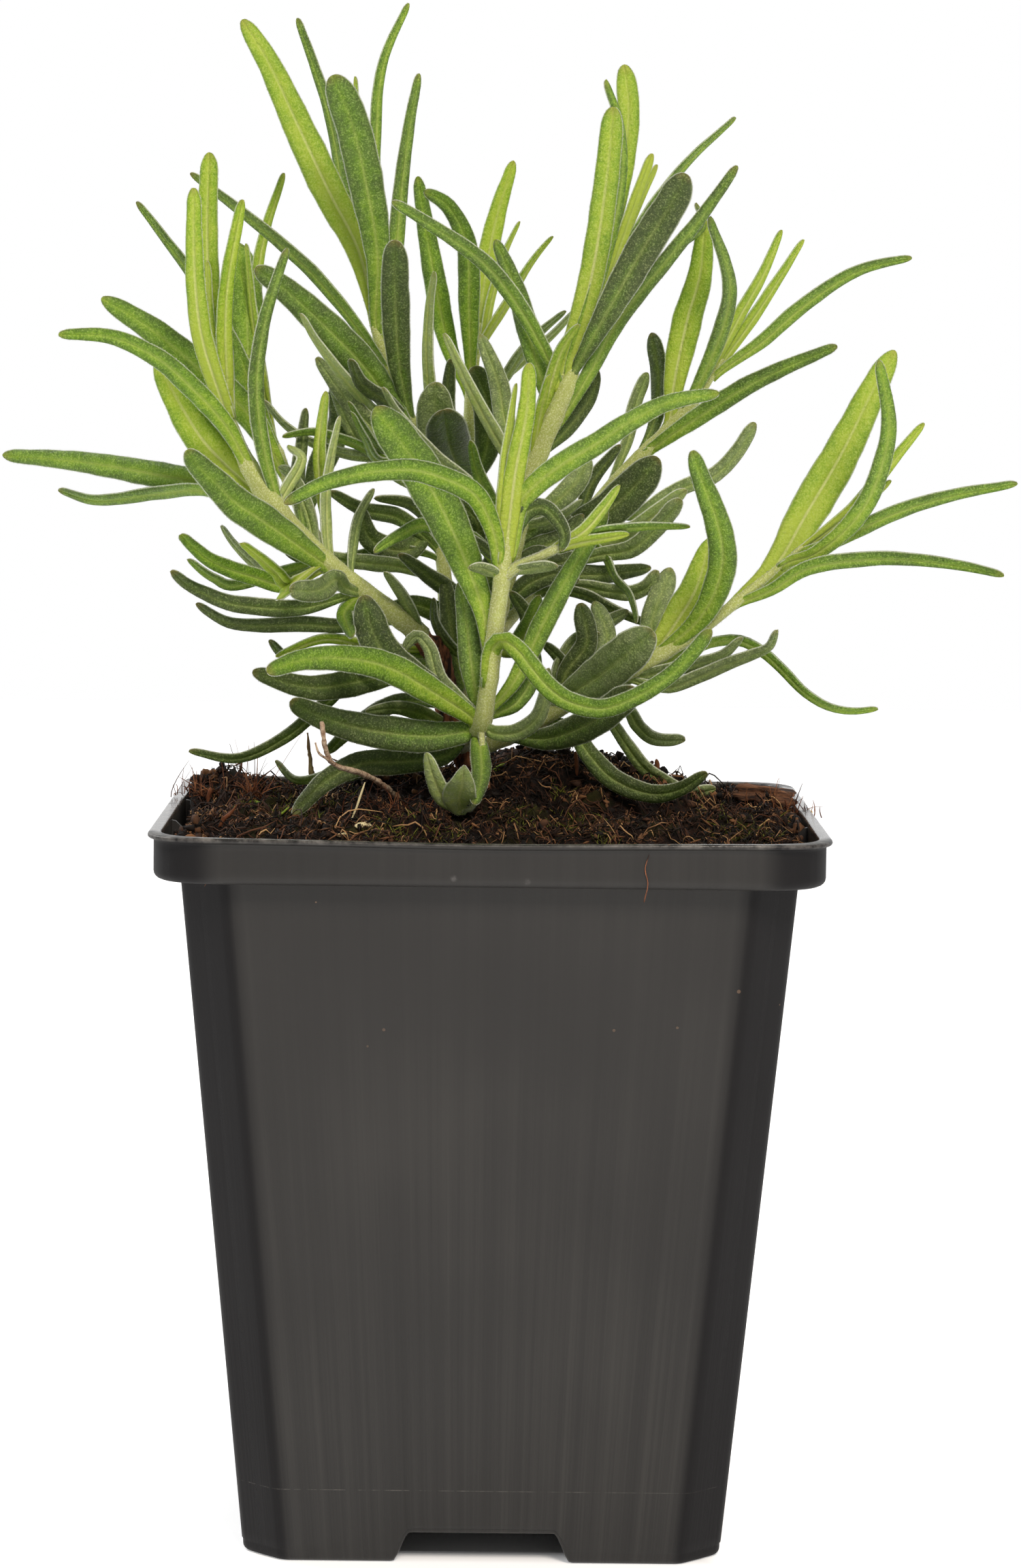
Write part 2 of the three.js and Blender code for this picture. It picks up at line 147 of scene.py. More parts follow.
def spline(points, at):
    """Points and directions at the shares `at` of a smooth curve's length. Between two points it is a
    cubic whose pace follows the root of their distance, and it starts and ends straight."""
    p = np.vstack([2 * points[0] - points[1], points, 2 * points[-1] - points[-2]])
    pace = np.sqrt(np.linalg.norm(np.diff(p, axis=0), axis=1))[:, None]
    slope = np.diff(p, axis=0) / pace
    wide = (p[2:] - p[:-2]) / (pace[:-1] + pace[1:])
    tangent = slope[:-1] - wide + slope[1:]
    step = np.linspace(0, len(points) - 1, 60 * len(points))
    i = np.minimum(step.astype(int), len(points) - 2)
    w = (step - i)[:, None]
    start, end = points[i], points[i + 1]
    out, back = tangent[i] * pace[i + 1], tangent[i + 1] * pace[i + 1]
    fine = (start + out * w + (3 * (end - start) - 2 * out - back) * w ** 2
            + (2 * (start - end) + out + back) * w ** 3)
    run = np.concatenate([[0], np.cumsum(np.linalg.norm(np.diff(fine, axis=0), axis=1))])

    def places(shares):
        """Points at those shares of the whole run."""
        return np.stack([np.interp(shares * run[-1], run, fine[:, k]) for k in range(3)], -1)

    return places(at), unit(places(np.minimum(at + 0.01, 1)) - places(np.maximum(at - 0.01, 0)))


def closed_bodies(rings):
    """Points and faces of closed bodies. rings[b, i, j] is point j round ring i of body b. Rings are
    joined by quads, and a point in the middle of each end ring closes the end with a fan."""
    count, rows, cols = rings.shape[:3]
    ends = rings[:, [0, -1]].mean(axis=2)
    places = np.concatenate([rings.reshape(count, rows * cols, 3), ends], axis=1)
    j = np.arange(cols)
    k = (j + 1) % cols
    step = cols * np.arange(rows - 1)[:, None]
    quads = np.stack([step + j, step + k, step + k + cols, step + j + cols], -1).reshape(-1, 4)
    foot, tip = rows * cols, rows * cols + 1
    last = (rows - 1) * cols
    fans = np.concatenate([np.stack([np.full(cols, foot), k, j], -1),
                           np.stack([np.full(cols, tip), last + j, last + k], -1)])
    first = (np.arange(count) * (rows * cols + 2))[:, None, None]
    faces = (quads + first).reshape(-1, 4).tolist() + (fans + first).reshape(-1, 3).tolist()
    return places.reshape(-1, 3), faces


def per_point(values, rings):
    """Values for the bodies, rings or points of closed bodies, as one value for each of their points."""
    full = np.broadcast_to(values, rings.shape[:3]).astype(float)
    return np.concatenate([full.reshape(len(rings), -1), full[:, [0, -1]].mean(axis=2)], axis=1).ravel()


def new_object(name, places, faces):
    """An object at the origin with a mesh of points in millimetres."""
    mesh = bpy.data.meshes.new(name)
    mesh.from_pydata((np.array(places) * MM).tolist(), [], faces)
    thing = bpy.data.objects.new(name, mesh)
    bpy.context.scene.collection.objects.link(thing)
    return thing


def make_piece(name, rings, material, slot, node=None, faces=None, uv=(), sharp=None, **values):
    """A piece of closed bodies, from their rings, or from points with faces of their own. uv is a pair of
    values and each of `values` one, for all points of the rings. Edges that turn by more than `sharp`
    degrees stay sharp. Where the CAD has the node, the piece stands for it."""
    piece = new_object(name, rings, faces) if faces else new_object(name, *closed_bodies(rings))
    mesh = piece.data
    mesh.shade_smooth()
    if uv:
        corner = np.zeros(len(mesh.loops), int)
        mesh.loops.foreach_get("vertex_index", corner)
        spots = np.column_stack([per_point(part, rings) for part in uv])
        mesh.uv_layers.new(name="map").data.foreach_set("uv", spots[corner].ravel())
    for key, value in values.items():
        mesh.attributes.new(key, "FLOAT", "POINT").data.foreach_set("value", per_point(value, rings))
    if sharp:
        mesh.set_sharp_from_angle(angle=math.radians(sharp))
    mesh.materials.append(material)
    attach(piece, "root")
    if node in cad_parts:
        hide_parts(node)
    return piece


def tubes(paths, radii, sides):
    """Rings of round tubes. paths[b, i] is point i along tube b and radii[b, i] its radius there. Each
    ring lies square to the path, and starts from the direction that the path turns to least."""
    along = unit(np.gradient(paths, axis=1))
    side = square_to(np.linalg.svd(along)[2][:, -1][:, None], along)
    up = np.cross(along, side)
    angle = np.arange(sides) * 2 * np.pi / sides
    reach = radii[..., None] if radii.ndim == 2 else radii
    return (paths[:, :, None] + side[:, :, None] * (reach * np.cos(angle))[..., None]
            + up[:, :, None] * (reach * np.sin(angle))[..., None])


def knobbly_tube(path, radii, sides, rough, knob, squeeze=1.0):
    """Rings of one tube whose radii noise changes by the share `rough`, in knobs that are `knob` apart
    across it and, where squeeze is under 1, further apart along Z."""
    rings = tubes(path[None], radii[None], sides)
    middle = path[None, :, None]
    return middle + (rings - middle) * (1 + rough * cloud(rings * [1, 1, squeeze], knob))[..., None]


# --- Materials -------------------------------------------------------------------------------

def srgb(code):
    """A hex colour as linear light, with its alpha."""
    parts = np.array([int(code[i:i + 2], 16) for i in (1, 3, 5)]) / 255
    linear = np.where(parts <= 0.04045, parts / 12.92, ((parts + 0.055) / 1.055) ** 2.4)
    return (*linear.tolist(), 1.0)


def add_node(tree, kind, sockets=(), stops=(), out=0, **settings):
    """Adds a node with its settings and gives its output `out`, where it has one. sockets are what its
    inputs take, in order or by name: values, or outputs to link. stops are a ramp's places and colours."""
    node = tree.nodes.new("ShaderNode" + kind)
    for key, value in settings.items():
        setattr(node, key, value)
    for key, value in sockets.items() if isinstance(sockets, dict) else enumerate(sockets):
        if isinstance(value, bpy.types.NodeSocket):
            tree.links.new(value, node.inputs[key])
        else:
            node.inputs[key].default_value = value
    if stops:
        ramp = node.color_ramp
        while len(ramp.elements) < len(stops):
            ramp.elements.new(0.5)
        for element, (place, code) in zip(ramp.elements, stops):
            element.position, element.color = place, srgb(code)
    return node.outputs[out] if node.outputs else None


def new_finish(name, build, *traits):
    """A material. build puts its shader together, from a function that adds nodes, the place on the object
    and the traits."""
    material = bpy.data.materials.new(name)
    material.use_nodes = True
    material.node_tree.nodes.clear()
    add = functools.partial(add_node, material.node_tree)
    add("OutputMaterial", [build(add, add("TexCoord", out="Object"), *traits)])
    return material


def leaf_skin(add, place):
    """Lavender leaf: a soft green skin under short white branched hairs. The hairs dull it and speckle it
    with white, thickest on old inner leaves and on the margin; the pale speckles are partly painted glints
    as well. It is painted yellower along the midrib and at the foot, where light from behind makes it
    glow, and the midrib shows as a cream line."""
    across, along = add("SeparateXYZ", [add("UVMap", uv_map="map")]).node.outputs[:2]
    age, wool, rib, reach = (
        add("Attribute", attribute_name=key, out="Fac") for key in ("age", "wool", "rib", "reach"))
    # Blotches 3 mm wide, the pebbled skin between sunken veins, and felt. The grain is of hairs and
    # pimples, drawn 0.26 mm apart, as coarse as they need to be to show.
    blotch, pebble, felt, grain = (
        add("TexNoise", {"Vector": place, "Scale": 1 / (size * MM), "Detail": detail, "Roughness": rough})
        for size, detail, rough in ((3, 4.0, 0.5), (0.7, 3.0, 0.6), (1.2, 5.0, 0.7), (0.26, 2.0, 0.9)))
    middle = add("MapRange", [across, 0.05, 0.75, -0.14, 0.06])
    foot = add("MapRange", [along, 0.0, 0.55, -0.32, 0.0])
    dent = add("Math", [grain, -0.9, 0.45], operation="MULTIPLY_ADD")
    # How old the leaf is, with its tone's painted light and shade, sets its green, from yellow to dark.
    older = age
    for part, share in ((blotch, 0.4), (pebble, -0.35), (middle, 1.0), (foot, 1.0), (dent, 1.0)):
        older = add("Math", [part, share, older], operation="MULTIPLY_ADD")
    skin = add("ValToRGB", [older], [(0.0, "#bed046"), (0.18, "#a0bf2c"), (0.36, "#7ba41e"),
                                     (0.55, "#557a1a"), (0.75, "#3a5018"), (1.0, "#28351a")])
    # Down dulls the green and speckles it, the more so the woollier the leaf is. The pale speckles are
    # partly white hairs and partly painted glints.
    cover = add("MapRange", [felt, 0.35, 0.7, 0.4, 1.0])
    cover = add("Math", [cover, wool], operation="MULTIPLY")
    dull = add("Math", [cover, 0.85], operation="MULTIPLY")
    speckle = add("Math", [cover, 0.7, 0.2], operation="MULTIPLY_ADD")
    fleck = add("MapRange", [grain, 0.54, 0.61])
    speckle = add("Math", [fleck, speckle], operation="MULTIPLY")
    # The midrib is a line under 0.3 mm from the middle that fades towards the tip, in a paler band.
    fade = add("MapRange", [along, 0.5, 0.98, 1.0, 0.1])
    worn = add("MapRange", [grain, 0.4, 0.6, 0.75, 1.0])
    plain = add("MapRange", [age, 0.4, 0.8, 1.0, 0.35])
    line = add("MapRange", [reach, 0.1, 0.26, 1.0, 0.0])
    for share in (fade, rib, worn):
        line = add("Math", [line, share], operation="MULTIPLY")
    band = add("MapRange", [reach, 0.05, 0.6, 0.5, 0.0])
    for share in (fade, plain):
        band = add("Math", [band, share], operation="MULTIPLY")
    # A darker line inside the margin, white down on the margin itself, and a brown tip.
    hem = add("MapRange", [across, 0.76, 0.88, 0.0, 0.2])
    edge = add("MapRange", [across, 0.93, 0.965])
    frost = add("Math", [wool, 0.5, 0.65], operation="MULTIPLY_ADD")
    frost = add("Math", [frost, edge], operation="MULTIPLY")
    tuft = add("MapRange", [grain, 0.4, 0.6, 0.5, 1.0])
    frost = add("Math", [tuft, frost], operation="MULTIPLY", use_clamp=True)
    brown = add("MapRange", [along, 0.96, 1.0, 0.0, 0.7])
    brown = add("Math", [brown, blotch], operation="MULTIPLY")
    for share, tint in ((dull, "#adba86"), (speckle, "#d3e096"), (band, "#a9c050"), (line, "#dfe29a"),
                        (hem, "#36491c"), (frost, "#eef3da"), (brown, "#a58a52")):
        skin = add("Mix", {0: share, 6: skin, 7: srgb(tint)}, data_type="RGBA", out=2)
    relief = add("Math", [grain, 0.5, pebble], operation="MULTIPLY_ADD")
    bump = add("Bump", {"Height": relief, "Strength": 1.0, "Distance": 0.3 * MM})
    shine = add("BsdfPrincipled", {
        "Base Color": skin, "Roughness": 0.4, "IOR": 1.45, "Specular IOR Level": 0.4, "Sheen Weight": 0.08,
        "Sheen Roughness": 0.35, "Sheen Tint": srgb("#eef4cc"), "Normal": bump})
    glow = add("Mix", {0: 0.5, 6: skin, 7: srgb("#a8cc10")}, data_type="RGBA", out=2)
    return add("MixShader", [0.28, shine, add("BsdfTranslucent", [glow])])


def green_bark(add, place):
    """Young square lavender stem: pale yellow-green skin with fine pimples and down, turning brown and
    woody towards its foot. The pimples are drawn 0.22 mm apart, as coarse as they need to be to show."""
    woody = add("Attribute", attribute_name="woody", out="Fac")
    patch = add("TexNoise", {"Vector": place, "Scale": 1 / (2.5 * MM), "Detail": 5.0})
    older = add("Math", [patch, 0.4, woody], operation="MULTIPLY_ADD")
    colour = add("ValToRGB", [older], [
        (0.0, "#aebb5a"), (0.2, "#a9b15e"), (0.45, "#9a9c5c"), (0.65, "#7c6d46"), (1.0, "#523826")])
    pimple = add("TexNoise", {"Vector": place, "Scale": 1 / (0.22 * MM), "Detail": 2.0, "Roughness": 0.8})
    dot = add("MapRange", [pimple, 0.47, 0.66, 0.0, 0.7])
    colour = add("Mix", {0: dot, 6: colour, 7: srgb("#dfe3b4")}, data_type="RGBA", out=2)
    bump = add("Bump", {"Height": pimple, "Strength": 0.8, "Distance": 0.15 * MM})
    return add("BsdfPrincipled", {
        "Base Color": colour, "Roughness": 0.6, "IOR": 1.45, "Sheen Weight": 0.25, "Sheen Roughness": 0.4,
        "Subsurface Weight": 0.2, "Subsurface Radius": (0.6 * MM, 0.8 * MM, 0.3 * MM), "Normal": bump})


def old_wood(add, place, light, dark, strip, grain):
    """Dead or woody stem: dull bark, split into strips `strip` mm apart. grain squeezes the pattern along
    x, y or z, so that the strips run that way."""
    along = add("Mapping", {0: place, "Scale": grain})
    split = add("TexNoise", {"Vector": along, "Scale": 1 / (strip * MM), "Detail": 6.0, "Roughness": 0.65})
    colour = add("ValToRGB", [split], [(0.4, dark), (0.6, light)])
    bump = add("Bump", {"Height": split, "Strength": 1.0, "Distance": 0.6 * MM})
    return add("BsdfPrincipled", {"Base Color": colour, "Roughness": 0.85, "IOR": 1.45, "Normal": bump})


def damp_peat(add, place):
    """Sphagnum peat, milled and damp: near-black crumbs with rust-brown fibre, dull, with olive moss
    in patches where it stays wet."""
    crumb = add("TexNoise", {"Vector": place, "Scale": 1 / (1.4 * MM), "Detail": 9.0, "Roughness": 0.75})
    brown = add("ValToRGB", [crumb], [
        (0.38, "#080504"), (0.5, "#190f0a"), (0.6, "#38241a"), (0.7, "#6c4830")])
    wet = add("TexNoise", {"Vector": place, "Scale": 1 / (9 * MM), "Detail": 5.0})
    mossy = add("MapRange", [wet, 0.52, 0.66, 0.0, 0.65])
    colour = add("Mix", {0: mossy, 6: brown, 7: srgb("#3c3c18")}, data_type="RGBA", out=2)
    bump = add("Bump", {"Height": crumb, "Strength": 1.0, "Distance": 1.0 * MM})
    return add("BsdfPrincipled", {
        "Base Color": colour, "Roughness": 0.9, "IOR": 1.4, "Specular IOR Level": 0.25, "Normal": bump})


def dry_fibre(add, place, *stops):
    """Plant fibre in the peat: dry and dull, each thread with a shade of its own between the stops."""
    shade = add("Attribute", attribute_name="shade", out="Fac")
    patch = add("TexNoise", {"Vector": place, "Scale": 1 / (1.2 * MM), "Detail": 3.0})
    mixed = add("Math", [patch, 0.3, shade], operation="MULTIPLY_ADD")
    colour = add("ValToRGB", [mixed], stops)
    return add("BsdfPrincipled", {
        "Base Color": colour, "Roughness": 0.8, "IOR": 1.45, "Specular IOR Level": 0.3})


def leaf_down(add, place):
    """The white branched hairs that edge leaf and stem: clear cellulose that reads as soft white."""
    patch = add("TexNoise", {"Vector": place, "Scale": 1 / (2 * MM)})
    colour = add("ValToRGB", [patch], [(0.3, "#dfe7cf"), (0.7, "#f7f9f2")])
    hair = add("BsdfPrincipled", {"Base Color": colour, "Roughness": 0.6, "IOR": 1.5})
    return add("MixShader", [0.5, hair, add("BsdfTranslucent", [colour])])


NICKS = [(-4.7, -44.25, 93.9), (4.8, -44.25, 93.5)]


def black_polypropylene(add, place):
    """Black polypropylene, injection moulded from regrind: satin and a little dusty, with upright flow
    streaks some 2.4 mm apart that are strongest low down, faint cloudy patches, a thin mould line all
    round 10 mm up, pale scuffs, and two nicks 1 mm wide in the front of the band."""
    # The map is in metres: round the pot and up its wall.
    round_pot = add("UVMap", uv_map="map")
    height = add("SeparateXYZ", [round_pot], out=1)
    flow = add("Mapping", {0: round_pot, "Scale": (1.0, 0.008, 1.0)})
    streak, patch, scuff, grit = (
        add("TexNoise", {"Vector": spot, "Scale": 1 / (size * MM), "Detail": detail, "Roughness": rough})
        for spot, size, detail, rough in (
            (flow, 2.4, 4.0, 0.75), (place, 30, 3.0, 0.4), (place, 2, 4.0, 0.7), (place, 0.35, 3.0, 0.5)))
    low = add("MapRange", [height, 5 * MM, 80 * MM, 1.0, 0.25])
    streak = add("Math", [streak, 0.5], operation="SUBTRACT")
    streak = add("Math", [streak, low], operation="MULTIPLY")
    tone = add("Math", [streak, 2.2, patch], operation="MULTIPLY_ADD")
    colour = add("ValToRGB", [tone], [(0.0, "#1c1b1a"), (0.5, "#272625"), (1.0, "#343331")])
    # Painted shade: the flats between the walls and the rounded ends of the band are coloured darker, for the
    # less light that reaches them from the sides, and are made a little rougher.
    corner = add("Attribute", attribute_name="corner", out="Fac")
    corner = add("Math", [corner, 0.95], operation="MULTIPLY")
    scuffed = add("MapRange", [scuff, 0.4, 0.75, 0.0, 0.9])
    mould = add("Math", [height, 10.1 * MM, 0.06 * MM], operation="COMPARE")
    worn = add("MapRange", [add("SeparateXYZ", [place]), -30 * MM, 30 * MM, 0.55, 0.15])
    # The lip is pale along its edge: partly rubbed wear and partly a painted highlight.
    edge = add("MapRange", [height, 98.0 * MM, 98.6 * MM, 0.0, 0.8])
    # Specks of peat dust about 0.4 mm wide and 5 mm apart cling to the upper wall.
    dust = add("TexVoronoi", {"Vector": place, "Scale": 1 / (5 * MM)}, out="Distance")
    dust = add("Math", [dust, 0.05], operation="LESS_THAN")
    high = add("MapRange", [height, 60 * MM, 96 * MM, 0.0, 0.8])
    mould = add("Math", [mould, worn], operation="MULTIPLY")
    nicks = []
    for nick in NICKS:
        away = add("VectorMath", [place, np.array(nick) * MM], operation="DISTANCE", out="Value")
        nicks.append(add("MapRange", [away, 0.2 * MM, 0.55 * MM, 0.35, 0.0]))
    # The painted shade on the flats and on the band's rounded ends.
    colour = add("Mix", {0: corner, 6: colour, 7: srgb("#09080b")}, data_type="RGBA", out=2)
    marks = [(mould, scuffed, "#8a8680"), *((nick, scuffed, "#8f8c8b") for nick in nicks),
             (edge, scuffed, "#8d8984"), (dust, high, "#7d6552")]
    for mark, share, tint in marks:
        strength = add("Math", [mark, share], operation="MULTIPLY")
        colour = add("Mix", {0: strength, 6: colour, 7: srgb(tint)}, data_type="RGBA", out=2)
    gloss = add("MapRange", [tone, 0.0, 1.0, 0.38, 0.5])
    for part, share in ((edge, -0.38), (corner, 0.3)):
        gloss = add("Math", [part, share, gloss], operation="MULTIPLY_ADD")
    relief = add("Math", [streak, 12.0, grit], operation="MULTIPLY_ADD")
    bump = add("Bump", {"Height": relief, "Strength": 0.3, "Distance": 0.05 * MM})
    return add("BsdfPrincipled", {
        "Base Color": colour, "Roughness": gloss, "IOR": 1.45, "Specular IOR Level": 0.35, "Normal": bump})


def white_board(add, place):
    """Opal acrylic of the studio table, lit from below, with a faint unevenness. Its glow stops in a square
    the size of the pot's foot: a painted shadow under the pot."""
    patch = add("TexNoise", {"Vector": place, "Scale": 1 / (80 * MM)})
    colour = add("ValToRGB", [patch], [(0.0, "#f4f4f4"), (1.0, "#f8f8f8")])
    x, y = add("SeparateXYZ", [add("VectorMath", [place], operation="ABSOLUTE")]).node.outputs[:2]
    # Painted shadow: the glow fades out under the pot's foot.
    lit = add("MapRange", [add("Math", [x, y], operation="MAXIMUM"), 26 * MM, 32 * MM, 0.0, 0.46])
    return add("BsdfPrincipled", {
        "Base Color": colour, "Roughness": 0.7, "Emission Color": (1, 1, 1, 1), "Emission Strength": lit})


LEAF_SKIN = new_finish("leaf_skin", leaf_skin)
GREEN_BARK = new_finish("green_bark", green_bark)
WOOD = new_finish("woody_crown_bark", old_wood, "#9a6040", "#2a1713", 1.0, (1, 1, 0.25))
ROOT = new_finish("dry_root_skin", old_wood, "#e0c8ac", "#9a765c", 0.5, (0.25, 1, 0.6))
STICK = new_finish("dry_stick_bark", old_wood, "#c6aa80", "#745c40", 0.8, (1, 1, 0.25))
BARK = new_finish("pine_bark", old_wood, "#80573c", "#281914", 0.9, (0.15, 1, 1))
PEAT = new_finish("damp_peat", damp_peat)
CHIP, FIBRE, MOSS, GREEN_BIT, RUST, FLAKE = (new_finish(name, dry_fibre, *stops) for name, *stops in (
    ("peat_chip", (0.15, "#060403"), (0.45, "#160e0a"), (0.7, "#3b261a"), (0.95, "#7c5638")),
    ("peat_fibre", (0.15, "#0e0906"), (0.42, "#2d1b12"), (0.7, "#633f2a"), (1.0, "#bb9466")),
    ("moss", (0.2, "#1a1b0b"), (0.6, "#3e3e17"), (1.0, "#777a2c")),
    ("torn_leaf", (0.1, "#23331f"), (0.5, "#4f7022"), (0.9, "#a8bb3a")),
    ("coir", (0.2, "#2c160e"), (0.6, "#5e3420"), (1.0, "#96603c")),
    ("dry_flake", (0.3, "#b39a68"), (0.9, "#eadfb4"))))
DOWN = new_finish("leaf_down", leaf_down)
PLASTIC = new_finish("black_polypropylene", black_polypropylene)

# --- Pot ---------------------------------------------------------------------------------------

POT_HIGH = np.array(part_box("pot")[1]) / MM
LIP_HALF = POT_HIGH[0]
POT_HEIGHT = POT_HIGH[2]
LIP_THICK = 0.7
LIP_CORNER = 9.0
LIP_SAG, LIP_SAG_WIDTH = 0.4, 22
BAND_HALF = 44.25
BAND_BOTTOM = 92.6
BAND_ROUND = 1.1
BAND_FILLET = 0.4
# Where the painted shade fades in: by the sum of x and y on the band, and by the distance from a flat
# between the walls.
BAND_END = (79, 82.5)
CUT_EDGE = (0.4, 1.8)
INNER_ROUND = 0.3
SHELF = 93.5
WALL = 1.0
TOP_HALF, TOP_FLAT = 40.8, 34.9
FOOT_HALF, FOOT_FLAT = 32.3, 26.9
EDGE_ROUND = 1.1
FLOOR_UNDER, FLOOR_TOP = 4.0, 4.6
NOTCH_HALF, NOTCH_TOP_HALF = 12.0, 9.6
NOTCH_RISE = 4.0
NOTCH_FADE = 7
FOOT_ROUND = 0.9
DRAIN_HOLE, DRAIN_OFFSET = 8.0, 16.0
CORNER_STEPS = 7
SIDE_SHARES = np.unique(np.round(np.concatenate([
    np.linspace(0.02, 0.98, 41), 0.5 + np.linspace(0.15, 0.25, 11), 0.5 - np.linspace(0.15, 0.25, 11)]), 4))
CUT_SHARES = np.linspace(0.15, 0.85, 6)


def bend(start, corner, end, t):
    """Points at the shares t of a parabola that leaves start and gets to end, both aimed at corner."""
    return start * (1 - t) ** 2 + 2 * corner * t * (1 - t) + end * t ** 2


def wall_outline(half, flat, rounding=EDGE_ROUND):
    """Points round a square of half width `half` whose corners are cut off outside `flat`: its eight
    corners are parabolas between points `rounding` away, with steps along the sides between them."""
    corners = np.array([[half, -flat], [half, flat], [flat, half], [-flat, half],
                        [-half, flat], [-half, -flat], [-flat, -half], [flat, -half]])
    points = []
    for k, corner in enumerate(corners):
        before, after = corners[k - 1], corners[(k + 1) % 8]
        end = corner + unit(after - corner) * rounding
        goal = after + unit(corner - after) * rounding
        shares = (SIDE_SHARES if k % 2 == 0 else CUT_SHARES)[:, None]
        points.append(bend(corner + unit(before - corner) * rounding, corner, end,
                           np.linspace(0, 1, CORNER_STEPS)[:, None]))
        points.append(end + (goal - end) * shares)
    return np.concatenate(points)


def rim_outline(half, like):
    """Points of a square of half width `half`, whose corners are parabolas between points LIP_CORNER
    away, in the same directions from the middle as the points of `like`."""
    corner = np.array([half, half])
    quarter = bend(corner - [0, LIP_CORNER], corner, corner - [LIP_CORNER, 0], np.linspace(0, 1, 40)[:, None])
    turns = ((1, 0), (0, 1), (-1, 0), (0, -1))
    whole = np.concatenate([quarter @ np.array([[c, s], [-s, c]]) for c, s in turns])
    angle = np.arctan2(whole[:, 1], whole[:, 0])
    wanted = np.arctan2(like[:, 1], like[:, 0])
    return np.stack([np.interp(wanted, angle, whole[:, k], period=2 * np.pi) for k in (0, 1)], -1)


def wall_at(z, inset):
    """Half width and half flat of the tapering wall at height z, moved in by inset."""
    rise = z / BAND_BOTTOM
    half = FOOT_HALF + (TOP_HALF - FOOT_HALF) * rise - inset
    flat = FOOT_FLAT + (TOP_FLAT - FOOT_FLAT) * rise - inset * math.tan(math.pi / 8)
    return half, flat


def level(outline, z):
    """A level outline at height z."""
    return np.column_stack([outline, np.broadcast_to(z, len(outline))])


def wall_ring(z, inset, lift=0):
    """A ring of the wall at height z, moved in by inset and up by lift."""
    return level(wall_outline(*wall_at(z, inset)), z + lift)


def arc(radius, start, end, steps=4):
    """Offsets out and up round an arc of that radius, from start to end in degrees."""
    angle = np.radians(np.linspace(start, end, steps))
    return np.column_stack([np.cos(angle), np.sin(angle)]) * radius


def pot_rings():
    """The pot's rings, from the middle of its floor up the inside, over the lip and down the outside to
    the middle of the floor's underside. The lip sags by a bell curve in front, and the foot's edge is
    lifted at the middle of each wall into a low arch with sloping sides."""
    inside = [wall_ring(z, WALL) for z in (FLOOR_TOP, 5.2, 30, 60, 90, 93, SHELF)]
    floor = [inside[0] * [k, k, 1] for k in (0.1, 0.4, 0.7, 0.9)]
    lip = LIP_THICK / 2
    bore = BAND_HALF - WALL
    rim = [(bore, z) for z in (SHELF + 0.1, 95, 97, 98.4)]
    for half, top, steps in (
            (bore + INNER_ROUND, POT_HEIGHT - INNER_ROUND, arc(INNER_ROUND, 180, 90)),
            (LIP_HALF - lip, POT_HEIGHT - lip, arc(lip, 90, -90, 7)),
            (BAND_HALF + BAND_FILLET, POT_HEIGHT - LIP_THICK - BAND_FILLET, arc(BAND_FILLET, 90, 180)),
            (BAND_HALF, 0, [(0, z) for z in (97, 96, 95, 94.3)]),
            (BAND_HALF - BAND_ROUND, BAND_BOTTOM + BAND_ROUND, arc(BAND_ROUND, 0, -90, 6))):
        rim += [(half + x, top + z) for x, z in steps]
    guide = wall_outline(*wall_at(BAND_BOTTOM, 0))
    rim = [level(rim_outline(half, guide), z) for half, z in rim]
    for ring in rim:
        in_front = ring[:, 1] < -LIP_HALF * 0.8
        sag = LIP_SAG * in_front * np.exp(-(ring[:, 0] / LIP_SAG_WIDTH) ** 2)
        ring[:, 2] -= sag * smooth(ring[:, 2], SHELF, POT_HEIGHT)
    heights = [BAND_BOTTOM, BAND_BOTTOM - 0.1, *np.linspace(BAND_BOTTOM - 0.6, 7, 18), 5, 3, 1.8]
    outside = [wall_ring(z, -0.3 if z == BAND_BOTTOM else 0) for z in heights]
    outside += [wall_ring(1.6, 0.12), wall_ring(1.35, 0.1)]
    outside += [wall_ring(0, FOOT_ROUND - x, FOOT_ROUND + z) for x, z in arc(FOOT_ROUND, 0, -90, 6)]
    outside += [wall_ring(0, WALL + x, INNER_ROUND + z) for x, z in arc(INNER_ROUND, -90, 0)]
    outside += [wall_ring(z, WALL + INNER_ROUND) for z in (1.5, 3)]
    for ring in outside:
        out = np.minimum(abs(ring[:, 0]), abs(ring[:, 1]))
        lift = NOTCH_RISE * (1 - smooth(out, NOTCH_TOP_HALF, NOTCH_HALF))
        low = ring[:, 2] < NOTCH_FADE
        ring[:, 2] = np.where(low, lift + ring[:, 2] * (1 - lift / NOTCH_FADE), ring[:, 2])
    for ring in outside[-2:]:
        ring[:, 2] = np.minimum(ring[:, 2], FLOOR_UNDER)
    below = wall_ring(FLOOR_UNDER, WALL + INNER_ROUND)
    under = [below * [k, k, 1] for k in (1, 0.9, 0.7, 0.4, 0.1)]
    return np.array([*floor, *inside, *rim, *outside, *under])


